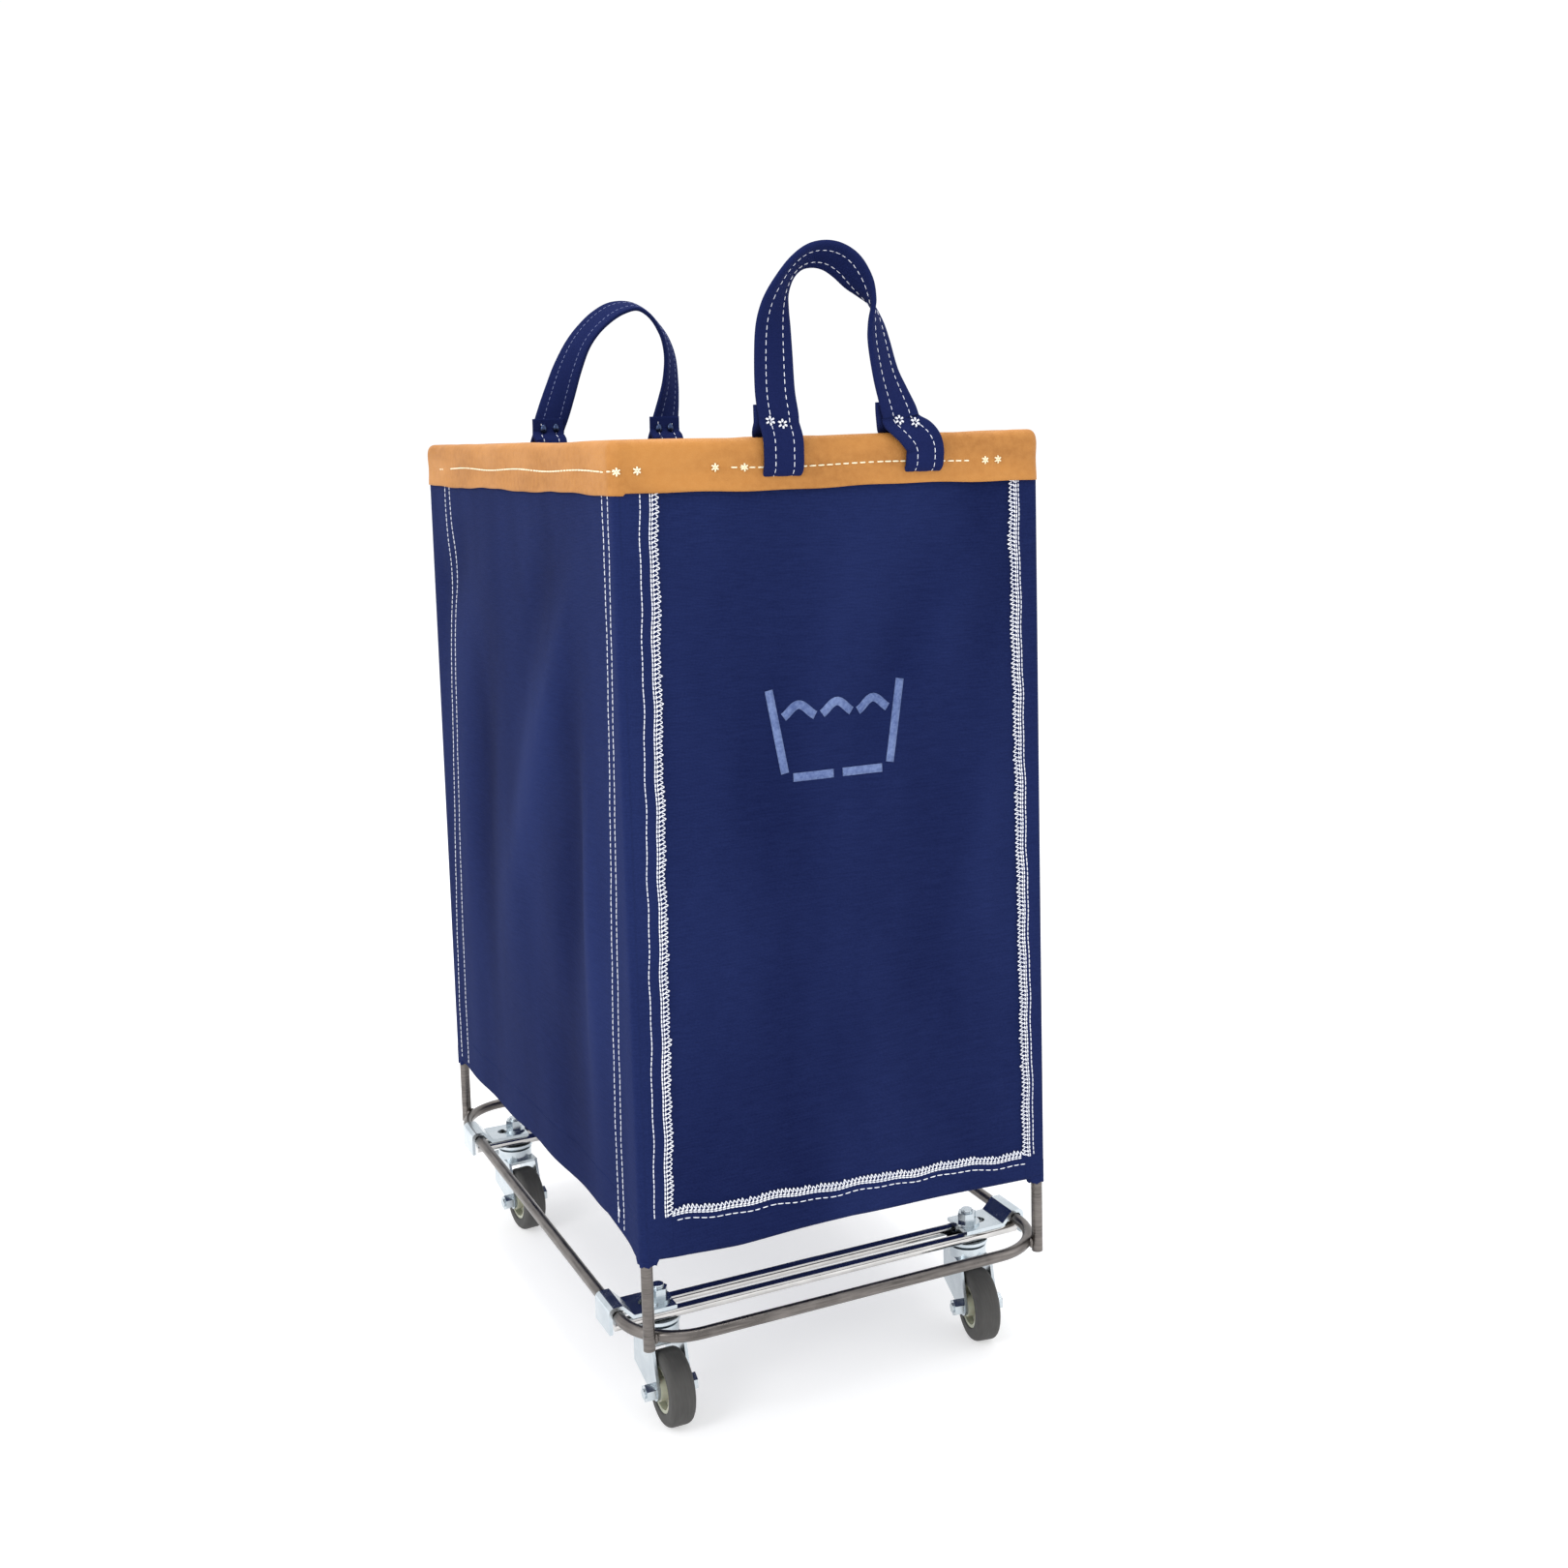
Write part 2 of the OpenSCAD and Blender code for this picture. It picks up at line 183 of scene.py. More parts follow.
def spread(tree, value, low, high, out_low, out_high):
    node = tree.nodes.new("ShaderNodeMapRange")
    put(node, {"From Min": low, "From Max": high, "To Min": out_low, "To Max": out_high})
    tree.links.new(value, node.inputs["Value"])
    return node.outputs["Result"]


def add(tree, a, b):
    node = tree.nodes.new("ShaderNodeMath")
    tree.links.new(a, node.inputs[0])
    tree.links.new(b, node.inputs[1])
    return node.outputs["Value"]


def times(tree, value, factor):
    node = tree.nodes.new("ShaderNodeMath")
    node.operation = "MULTIPLY"
    tree.links.new(value, node.inputs[0])
    node.inputs[1].default_value = factor
    return node.outputs["Value"]


def mix_colour(tree, factor, a, b):
    node = tree.nodes.new("ShaderNodeMix")
    node.data_type = "RGBA"
    tree.links.new(factor, node.inputs["Factor"])
    for value, name in ((a, "A"), (b, "B")):
        socket = [s for s in node.inputs if s.name == name and s.type == "RGBA"][0]
        if isinstance(value, tuple):
            socket.default_value = (*value, 1)
        else:
            tree.links.new(value, socket)
    return [s for s in node.outputs if s.type == "RGBA"][0]


def paint(tree, shader, tone, dark, light):
    tree.links.new(mix_colour(tree, tone, dark, light), shader.inputs["Base Color"])


def roughen(tree, shader, value, smooth, rough):
    tree.links.new(spread(tree, value, 0.3, 0.7, smooth, rough), shader.inputs["Roughness"])


def add_bump(tree, shader, height, strength, distance):
    node = tree.nodes.new("ShaderNodeBump")
    put(node, {"Strength": strength, "Distance": distance})
    tree.links.new(height, node.inputs["Height"])
    tree.links.new(node.outputs["Normal"], shader.inputs["Normal"])


def canvas_material(name, dark, light, pitch):
    """Plain-weave cotton: warp and weft ribs, slubs, fading with painted sheen streaks, and
    painted fold shading, lighter on crests and darker in hollows.
    """
    mat, tree, shader = new_material(name, dark, 0.86)
    cloth = place_in(tree, attribute="cloth")
    weft = bands(tree, cloth, "Y", 0.5 / pitch)
    warp = bands(tree, cloth, "X", 0.5 / pitch)
    slub = noise(tree, place_in(tree, (60, 900, 1), "cloth"), 1.0, 3.0)
    # Vertical streaks of tone: partly fading of the canvas, partly painted sheen streaks.
    fade_and_sheen = noise(tree, place_in(tree, (1.6, 1.6, 0.55)), 4.0, 3.0)
    specks = noise(tree, place_in(tree), 700.0, 2.0)
    # The cloth place's Z is painted fold shading: it makes the colour lighter on crests that stand
    # out and darker in hollows.
    parts = tree.nodes.new("ShaderNodeSeparateXYZ")
    tree.links.new(cloth, parts.inputs[0])
    tone = add(tree, spread(tree, fade_and_sheen, 0.36, 0.66, 0.0, 0.40),
               spread(tree, parts.outputs["Z"], -0.9, 0.9, -0.30, 0.42))
    tone = add(tree, tone, spread(tree, slub, 0.3, 0.7, 0.0, 0.24))
    tone = add(tree, tone, spread(tree, specks, 0.3, 0.7, 0.0, 0.22))
    tone = add(tree, tone, spread(tree, weft, 0.0, 1.0, 0.0, 0.20))
    paint(tree, shader, tone, dark, light)
    height = add(tree, add(tree, times(tree, warp, 0.6), weft), times(tree, slub, 1.2))
    add_bump(tree, shader, height, 0.55, 0.0003)
    put(shader, {"Sheen Weight": 0.012, "Sheen Roughness": 0.5,
                 "Sheen Tint": (0.45, 0.55, 1.0, 1), "Specular IOR Level": 0.04})
    return mat


def leather_material():
    """Tan split leather: mottled tan, darker rubbed patches, fine pores and creases."""
    mat, tree, shader = new_material("tan_leather", (0.60, 0.28, 0.085), 0.55)
    wide = noise(tree, place_in(tree, (1, 1, 3)), 9.0)
    fine = noise(tree, place_in(tree), 160.0)
    tan = mix_colour(tree, spread(tree, wide, 0.38, 0.66, 0, 1),
                     (0.360, 0.148, 0.036), (0.500, 0.215, 0.052))
    paint(tree, shader, spread(tree, fine, 0.3, 0.75, 0, 0.45), tan, (0.560, 0.262, 0.074))
    pores = tree.nodes.new("ShaderNodeTexVoronoi")
    put(pores, {"Scale": 900.0})
    tree.links.new(place_in(tree), pores.inputs["Vector"])
    height = add(tree, pores.outputs["Distance"], times(tree, fine, 2.2))
    add_bump(tree, shader, height, 0.4, 0.0004)
    roughen(tree, shader, wide, 0.62, 0.48)
    put(shader, {"Specular IOR Level": 0.16})
    return mat


def steel_material(name, colour, rough, streak, along):
    """Drawn rod: metal with fine lines along it, faint scale and smudged patches."""
    mat, tree, shader = new_material(name, colour, rough, 1.0)
    lines = noise(tree, place_in(tree, along), 1.0, 3.0)
    patches = noise(tree, place_in(tree), 45.0, 5.0)
    dark = tuple(c * (1 - streak) for c in colour)
    bright = tuple(min(1, c * (1 + streak)) for c in colour)
    tone = add(tree, spread(tree, lines, 0.3, 0.7, 0, 0.6),
               spread(tree, patches, 0.35, 0.7, 0, 0.4))
    paint(tree, shader, tone, dark, bright)
    roughen(tree, shader, patches, rough * 0.8, rough * 1.3)
    add_bump(tree, shader, lines, 0.12, 0.0002)
    return mat


def zinc_material():
    """Bright zinc plate: cool, slightly blue, with faint spangle."""
    mat, tree, shader = new_material("bright_zinc", (0.66, 0.72, 0.76), 0.24, 1.0)
    cloud = noise(tree, place_in(tree), 70.0)
    paint(tree, shader, spread(tree, cloud, 0.3, 0.7, 0, 1), (0.50, 0.56, 0.60),
          (0.62, 0.67, 0.70))
    roughen(tree, shader, cloud, 0.20, 0.28)
    add_bump(tree, shader, noise(tree, place_in(tree), 900.0, 2.0), 0.15, 0.0001)
    return mat


def rubber_material():
    """Dark grey tyre: chalky bloom, fine tread scuffs and moulding lines round it."""
    mat, tree, shader = new_material("grey_rubber", (0.085, 0.083, 0.080), 0.7)
    scuff = noise(tree, place_in(tree, (900, 90, 90)), 1.0)
    bloom = noise(tree, place_in(tree), 60.0)
    tone = add(tree, spread(tree, scuff, 0.3, 0.7, 0, 0.5), spread(tree, bloom, 0.3, 0.7, 0, 0.5))
    paint(tree, shader, tone, (0.046, 0.045, 0.043), (0.078, 0.076, 0.072))
    roughen(tree, shader, bloom, 0.6, 0.82)
    add_bump(tree, shader, scuff, 0.25, 0.0002)
    put(shader, {"Specular IOR Level": 0.35})
    return mat


def nylon_material():
    """Moulded hub: pale grey-beige with faint flow marks."""
    mat, tree, shader = new_material("beige_nylon", (0.50, 0.50, 0.40), 0.45)
    flow = noise(tree, place_in(tree), 110.0)
    paint(tree, shader, spread(tree, flow, 0.3, 0.7, 0, 1), (0.36, 0.36, 0.27),
          (0.46, 0.46, 0.36))
    add_bump(tree, shader, flow, 0.15, 0.0003)
    put(shader, {"Subsurface Weight": 0.06})
    return mat


def thread_material(name, dark, light):
    """Twisted sewing thread: fine twist ridges and uneven whiteness."""
    mat, tree, shader = new_material(name, light, 0.65)
    twist = noise(tree, place_in(tree), 1500.0, 2.0)
    wear = noise(tree, place_in(tree), 60.0, 3.0)
    tone = add(tree, spread(tree, twist, 0.3, 0.7, 0, 0.5), spread(tree, wear, 0.3, 0.7, 0, 0.5))
    paint(tree, shader, tone, dark, light)
    add_bump(tree, shader, twist, 0.4, 0.0002)
    put(shader, {"Sheen Weight": 0.1})
    return mat


def ink_material():
    """Screen-printed ink: pale blue, with the weave showing through where it is thin."""
    mat, tree, shader = new_material("stencil_ink", (0.16, 0.22, 0.58), 0.8)
    thin = noise(tree, place_in(tree), 420.0, 3.0)
    patch = noise(tree, place_in(tree), 40.0, 3.0)
    tone = add(tree, spread(tree, thin, 0.35, 0.65, 0, 0.6),
               spread(tree, patch, 0.35, 0.65, 0, 0.4))
    paint(tree, shader, tone, (0.055, 0.090, 0.24), (0.155, 0.215, 0.42))
    add_bump(tree, shader, thin, 0.3, 0.0002)
    return mat


# Mesh helpers -----------------------------------------------------------------------------

def add_piece(name, points, faces, mat, body=None, cloth=None):
    """A mesh piece with its finish; cloth is each point's place for the weave to follow, and on
    the bag its Z carries painted fold shading.
    """
    mesh = bpy.data.meshes.new(name)
    mesh.from_pydata(np.asarray(points).tolist(), [], faces)
    mesh.update()
    if cloth is not None:
        layer = mesh.attributes.new("cloth", "FLOAT_VECTOR", "POINT")
        layer.data.foreach_set("vector", np.asarray(cloth, np.float32).ravel())
    mesh.polygons.foreach_set("use_smooth", [True] * len(mesh.polygons))
    mesh.materials.append(mat)
    piece = bpy.data.objects.new(name, mesh)
    bpy.context.scene.collection.objects.link(piece)
    if body:
        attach(piece, body)
    return piece


def add_grid(name, grid, across, up, mat, closed=True, flip=True):
    """A piece of the frame from a grid of points, whose weave runs across and up."""
    cloth = np.zeros(grid.shape)
    cloth[..., 0] = across
    cloth[..., 1] = up
    faces = grid_faces(grid.shape[0], grid.shape[1], closed, flip)
    return add_piece(name, grid.reshape(-1, 3), faces, mat, "frame", cloth.reshape(-1, 3))


def add_thickness(piece, thickness, offset=-1.0):
    solid = piece.modifiers.new("thickness", "SOLIDIFY")
    solid.thickness = thickness
    solid.offset = offset
    solid.use_rim = True


def grid_faces(rows, columns, closed=False, flip=False):
    """Quads between rows of points, row after row; closed joins the last column to the first."""
    faces = []
    for r in range(rows - 1):
        for c in range(columns if closed else columns - 1):
            d = (c + 1) % columns
            quad = (r * columns + c, r * columns + d, (r + 1) * columns + d, (r + 1) * columns + c)
            faces.append(quad[::-1] if flip else quad)
    return faces


def shifted(faces, shift):
    """The same faces for points that come later in the list."""
    return [tuple(v + shift for v in face) for face in faces]


def resample(keys, count):
    """Points at even spacing on a smooth curve through rows of numbers."""
    keys = np.asarray(keys, float)
    ends = np.vstack([2 * keys[0] - keys[1], keys, 2 * keys[-1] - keys[-2]])
    dense = []
    for k in range(1, len(ends) - 2):
        a, b, c, d = ends[k - 1:k + 3]
        for t in np.linspace(0, 1, 16, endpoint=False):
            dense.append(0.5 * (2 * b + (c - a) * t + (2 * a - 5 * b + 4 * c - d) * t ** 2
                                + (3 * b - a - 3 * c + d) * t ** 3))
    dense.append(keys[-1])
    dense = np.array(dense)
    run = run_length(dense[:, :3])
    return at_run(np.linspace(0, run[-1], count), run, dense)


def at_run(at, run, values):
    """Rows of values at given lengths along a run."""
    return np.stack([np.interp(at, run, values[:, k]) for k in range(values.shape[1])], -1)


def run_length(points):
    steps = np.linalg.norm(np.diff(points, axis=0), axis=1)
    return np.concatenate([[0], np.cumsum(steps)])


def unit(vectors):
    return vectors / np.maximum(np.linalg.norm(vectors, axis=-1, keepdims=True), 1e-12)


def smoothstep(x):
    x = np.clip(x, 0, 1)
    return x * x * (3 - 2 * x)


# Sewing -----------------------------------------------------------------------------------

STITCH_X = np.array([-0.5, -0.42, -0.2, 0.2, 0.42, 0.5])
STITCH_SIZE = np.array([0.3, 0.8, 1.0, 1.0, 0.8, 0.3])
STITCH_LIFT = np.array([-0.9, -0.1, 0.3, 0.3, -0.1, -0.9])
STITCH_SIDES = 6


def stitch_points(starts, ends, normals, radius):
    """Rings of points for a run of stitches, each a short thread that dips at both ends."""
    along = ends - starts
    up = unit(normals - unit(along) * np.sum(normals * unit(along), axis=1, keepdims=True))
    side = np.cross(unit(along), up)
    angle = np.arange(STITCH_SIDES) * 2 * math.pi / STITCH_SIDES
    middle = (starts + ends) / 2
    rings = []
    for x, size, lift in zip(STITCH_X, STITCH_SIZE, STITCH_LIFT):
        for a in angle:
            rings.append(middle + along * x + up * (radius * (lift + size * math.cos(a)))
                         + side * (radius * size * math.sin(a)))
    return np.stack(rings, 1).reshape(-1, 3)


def stitch_faces(count):
    rings = len(STITCH_X)
    base = grid_faces(rings, STITCH_SIDES, closed=True)
    first = tuple(range(STITCH_SIDES))[::-1]
    last = tuple((rings - 1) * STITCH_SIDES + k for k in range(STITCH_SIDES))
    size = rings * STITCH_SIDES
    return [face for k in range(count) for face in shifted(base + [first, last], k * size)]


def sew(name, runs, radius, mat, body=None):
    """One piece from runs of stitches, each run being starts, ends and normals."""
    starts, ends, normals = (np.vstack([run[k] for run in runs]) for k in range(3))
    points = stitch_points(starts, ends, normals, radius)
    return add_piece(name, points, stitch_faces(len(starts)), mat, body)


def stitch_row(points, normals, pitch, length, seed=1):
    """Stitches of a length at a pitch along a line, with slight unevenness."""
    draw = random.Random(seed)
    run = run_length(points)
    starts, ends, ups = [], [], []
    at = pitch * 0.3
    while at + length < run[-1]:
        size = length * draw.uniform(0.88, 1.1)
        span = [at, min(at + size, run[-1]), at + size / 2]
        spots = at_run(span, run, points)
        starts.append(spots[0])
        ends.append(spots[1])
        ups.append(at_run(span[2], run, normals))
        at += pitch * draw.uniform(0.95, 1.05)
    return np.array(starts), np.array(ends), np.array(ups)


def star(centre, normal, across, petals, inner, outer):
    """Stitches that radiate from a centre, as in a star tack or a daisy rivet."""
    normal = unit(np.array(normal, float))
    across = unit(np.array(across, float))
    up = np.cross(normal, across)
    turns = [math.pi / petals + k * 2 * math.pi / petals for k in range(petals)]
    rays = np.array([across * math.cos(a) + up * math.sin(a) for a in turns])
    centre = np.array(centre, float)
    return centre + rays * inner, centre + rays * outer, np.tile(normal, (petals, 1))


def turned(points):
    """The same points after half a turn about Z."""
    return np.asarray(points) * np.array([-1, -1, 1])


# Bag --------------------------------------------------------------------------------------

# Height of the bag's lower edge along the end faces and the side faces
END_HEM = [(-0.178, 0.1610), (-0.150, 0.1580), (-0.100, 0.1560), (0.0, 0.1580),
           (0.090, 0.1555), (0.178, 0.1540)]
SIDE_HEM = [(-0.268, 0.1580), (-0.235, 0.1620), (-0.195, 0.1690), (-0.100, 0.1640),
            (0.0, 0.1610), (0.120, 0.1550), (0.268, 0.1530)]

# Soft bulges: face, place across, height, spread across, spread up, depth, lean
BULGES = [
    (0, 0.110, 0.660, 0.026, 0.110, 0.0038, 0.45),
    (0, 0.060, 0.620, 0.035, 0.110, -0.0034, 0.5),
    (0, -0.080, 0.360, 0.090, 0.120, 0.0024, 0.0),
    (0, 0.090, 0.300, 0.060, 0.120, -0.0022, 0.2),
    (0, 0.135, 0.480, 0.022, 0.160, 0.0020, 0.1),
    (1, 0.130, 0.560, 0.045, 0.200, 0.0070, 0.2),
    (1, 0.040, 0.500, 0.045, 0.230, -0.0070, 0.2),
    (1, -0.050, 0.420, 0.040, 0.200, 0.0066, -0.3),
    (1, -0.130, 0.600, 0.040, 0.150, -0.0052, 0.1),
    (1, -0.190, 0.430, 0.026, 0.150, 0.0056, 0.0),
    (1, 0.200, 0.330, 0.040, 0.160, -0.0030, 0.0),
    (1, -0.110, 0.300, 0.060, 0.090, -0.0030, 0.4),
    (2, -0.090, 0.600, 0.060, 0.120, 0.0028, 0.3),
    (2, 0.070, 0.420, 0.060, 0.140, -0.0028, 0.2),
    (3, 0.175, 0.690, 0.040, 0.060, -0.0060, -0.6),
    (3, 0.100, 0.650, 0.045, 0.080, 0.0040, -0.5),
    (3, -0.120, 0.600, 0.030, 0.090, 0.0066, -0.55),
    (3, -0.020, 0.470, 0.042, 0.110, 0.0080, -0.5),
    (3, 0.020, 0.330, 0.050, 0.100, 0.0050, 0.0),
    (3, 0.130, 0.470, 0.045, 0.170, -0.0056, -0.2),
    (3, -0.070, 0.660, 0.034, 0.080, -0.0058, -0.5),
    (3, -0.130, 0.420, 0.030, 0.120, -0.0056, -0.2),
    (3, -0.185, 0.400, 0.020, 0.150, 0.0056, 0.0),
    (3, 0.180, 0.330, 0.035, 0.150, 0.0036, 0.0),
    (3, -0.080, 0.260, 0.045, 0.070, -0.0040, 0.3)]


def wobble(x, size, phase):
    return size * (0.6 * np.sin(x * 2 * math.pi / 0.083 + phase)
                   + 0.4 * np.sin(x * 2 * math.pi / 0.037 + 2.3 * phase))


def rise(z):
    return np.clip((z - 0.19) / 0.555, -0.1, 1.1)


def edge_left(z):
    """Edge of the end panel's left seam, where its raised layer stops."""
    return -0.1545 + 0.0070 * (rise(z) - 0.4) + wobble(z, 0.0007, 1.0)


def edge_right(z):
    return 0.1600 - 0.0060 * (rise(z) - 0.4) + wobble(z, 0.0007, 2.1)


def edge_bottom(x):
    return 0.1895 - 0.055 * x + wobble(x, 0.0014, 0.4)


def slack(face, a, z):
    """How far the canvas stands out of its flat plane at a place across and a height."""
    half = POST_Y if face % 2 else POST_X
    free = smoothstep((half - np.abs(a)) / 0.035) * smoothstep((RIM_FOOT + 0.012 - z) / 0.12)
    out = -0.0016 + 0.0009 * np.sin(a * 2 * math.pi / 0.13 + 1.3 * face + 2.0 * z)
    for which, at_a, at_z, wide, tall, depth, lean in BULGES:
        if which == face:
            off = a - at_a - lean * (z - at_z)
            out = out + depth * np.exp(-(off / wide) ** 2 - ((z - at_z) / tall) ** 2)
    return out * free


def on_plane(face, a, out, z):
    """Points that stand out from the uprights' line on face 0 (front), 1 (right), 2 (rear) or
    3 (left), and normals. Across is +X on the front and +Y on the left; the rear and right are
    turned copies."""
    a, out, z = np.broadcast_arrays(np.asarray(a, float), out, z)
    if face % 2 == 0:
        points = np.stack([a, -(POST_Y + out), z], -1)
        normals = np.broadcast_to([0.0, -1.0, 0.0], points.shape)
    else:
        points = np.stack([-(POST_X + out), a, z], -1)
        normals = np.broadcast_to([-1.0, 0.0, 0.0], points.shape)
    if face in (1, 2):
        return turned(points), turned(normals)
    return points, normals


def on_face(face, a, z, lift=0.0):
    """Points and normals on a face's canvas, with its soft bulges."""
    a, z = np.asarray(a, float), np.asarray(z, float)
    return on_plane(face, a, WALL_OUT + slack(face, a, z) + lift, z)


def on_world(face, place, z, lift):
    """Points on a face at a place given in the world's X or Y."""
    return on_face(face, -place if face in (1, 2) else place, z, lift)[0]


def hem(face, a):
    table = SIDE_HEM if face % 2 else END_HEM
    return np.interp(a, [p[0] for p in table], [p[1] for p in table])


def face_columns(face, rows):
    """Grid of one face's points, from its first corner to its last in the walk round the bag.
    Doubled rows and columns make the step where an end face's panel lies behind its hem."""
    share = np.concatenate([np.linspace(0, 0.97, 9), [1.0, 1.0, 1.0015],
                            np.linspace(1.008, 2, rows - 12)])
    end = face % 2 == 0
    if end:
        knots = np.concatenate([np.linspace(0, 0.96, 7), [1.0, 1.0, 1.003],
                                np.linspace(1.02, 1.98, 54), [1.997, 2.0, 2.0],
                                np.linspace(2.05, 3, 6)])
    else:
        knots = np.linspace(0, 3, 170)
    set_back = range(8, len(knots) - 7)
    half = POST_X if end else POST_Y
    grid = np.zeros((rows, len(knots), 3))
    for c, knot in enumerate(knots):
        middle = (knot / 3 * 2 - 1) * half
        for _ in range(2):
            foot = hem(face, middle) + HEM_R
            seam = edge_bottom(middle) if end else foot + 0.03
            z = np.where(share <= 1, foot + (seam - foot) * share,
                         seam + (BAG_TOP - seam) * (share - 1))
            if end:
                left, right = edge_left(z), edge_right(z)
                a = np.where(knot <= 1, -half + (left + half) * knot,
                             np.where(knot <= 2, left + (right - left) * (knot - 1),
                                      right + (half - right) * (knot - 2)))
            else:
                a = np.full(rows, middle)
            middle = float(np.mean(a))
        inside = np.zeros(rows)
        if end and c in set_back:
            inside[10:] = 1.0
        grid[:, c], _ = on_face(face, a, z, -STEP * inside)
    return grid if end else grid[:, ::-1]


def make_bag(canvas):
    rows = 126
    grids = [face_columns(face, rows) for face in range(4)]
    centres = [(POST_X, -POST_Y), (POST_X, POST_Y), (-POST_X, POST_Y), (-POST_X, -POST_Y)]
    columns = []
    arc = 6
    for face in range(4):
        grid, after = grids[face], grids[(face + 1) % 4]
        columns += [grid[:, c] for c in range(grid.shape[1])]
        start = math.radians(-90 + 90 * face)
        for k in range(1, arc):
            turn = start + math.pi / 2 * k / arc
            z = grid[:, -1, 2] * (1 - k / arc) + after[:, 0, 2] * k / arc
            x = np.full(rows, centres[face][0] + WALL_OUT * math.cos(turn))
            y = np.full(rows, centres[face][1] + WALL_OUT * math.sin(turn))
            columns.append(np.stack([x, y, z], 1))
    wall = np.stack(columns, 1)
    foot = wall[0]
    reach = np.array([POST_X + WALL_OUT, POST_Y + WALL_OUT])
    below = []
    for k in range(1, 4):
        theta = math.pi / 2 * k / 3
        ring = foot.copy()
        ring[:, :2] *= 1 - HEM_R * (1 - math.cos(theta)) / reach
        ring[:, 2] = foot[:, 2] - HEM_R * math.sin(theta)
        below.append(ring)
    floor_rings = 26
    edge = below[-1]
    for k in range(1, floor_rings + 1):
        share = 1 - 0.985 * k / floor_rings
        ring = edge.copy()
        ring[:, :2] *= share
        bed = BAG_Z + 0.0002 - 0.0035 * (1 - share) + 0.0011 * np.sin(
            ring[:, 0] * 41 + 1.1) * np.sin(ring[:, 1] * 33) * (1 - share)
        ring[:, 2] = bed + (edge[:, 2] - bed) * smoothstep((share - 0.72) / 0.28)
        below.append(ring)
    rings = np.stack(below[::-1] + list(wall), 0)
    total_rows, total_columns = rings.shape[:2]
    points = rings.reshape(-1, 3)
    faces = grid_faces(total_rows, total_columns, closed=True)
    faces.append(tuple(range(total_columns))[::-1])
    around = run_length(np.vstack([wall[rows // 2], wall[rows // 2][:1]]))[:-1]
    cloth = np.zeros(rings.shape)
    cloth[..., 0] = around
    cloth[..., 1] = rings[..., 2]
    lower = len(below)
    cloth[:lower, :, :2] = rings[:lower, :, :2]
    # Painted fold shading: how far the wall stands out goes into the cloth place's Z, which
    # lightens crests and darkens hollows in the canvas colour.
    stand = np.maximum(np.abs(rings[..., 0]) - reach[0], np.abs(rings[..., 1]) - reach[1])
    cloth[lower:, :, 2] = np.clip(stand[lower:] / 0.008, -1.0, 1.0)
    bag = add_piece("bag_shell", points, faces, canvas, "frame",
                    cloth.reshape(-1, 3))
    add_thickness(bag, CANVAS_T)
    pockets = [f"rod_pocket_{name}" for name, _, _ in CORNERS]
    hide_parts("panel_front", "panel_rear", "panel_left", "panel_right", "panel_bottom",
                *pockets)
    return bag


def make_sleeves(canvas):
    """Inner half of each corner sleeve: a strip that passes round the inside of the upright."""
    hug = (ROD_R + 0.0012) * 0.72
    flange = [0.0270, 0.0235, 0.0200, 0.0168]
    bend = resample([(0.0140, -0.0012, 0), (0.0084, 0.0016, 0), (hug, hug, 0),
                     (0.0016, 0.0084, 0), (-0.0012, 0.0140, 0)], 17)
    heights = np.linspace(BAG_Z + 0.010, BAG_TOP - 0.012, 70)
    under = -CANVAS_T * 1.7
    sleeves = []
    for name, sx, sy in CORNERS:
        end_face, side_face = (0 if sy < 0 else 2), (3 if sx < 0 else 1)
        ripple = 0.0005 * np.sin(heights * 60 + sx + 2 * sy)
        columns = []
        for d in flange:
            columns.append(on_world(end_face, sx * (POST_X - d), heights, under))
        for x, y, _ in bend:
            columns.append(np.stack([sx * (POST_X - x - ripple), sy * (POST_Y - y - ripple),
                                     heights], 1))
        for d in flange[::-1]:
            columns.append(on_world(side_face, sy * (POST_Y - d), heights, under))
        grid = np.stack(columns, 1)
        piece = add_grid(f"inner_sleeve_{name}", grid, run_length(grid[30])[None], grid[..., 2],
                         canvas, closed=False, flip=sx * sy > 0)
        add_thickness(piece, CANVAS_T, 0.0)
        sleeves.append(piece)
    return sleeves


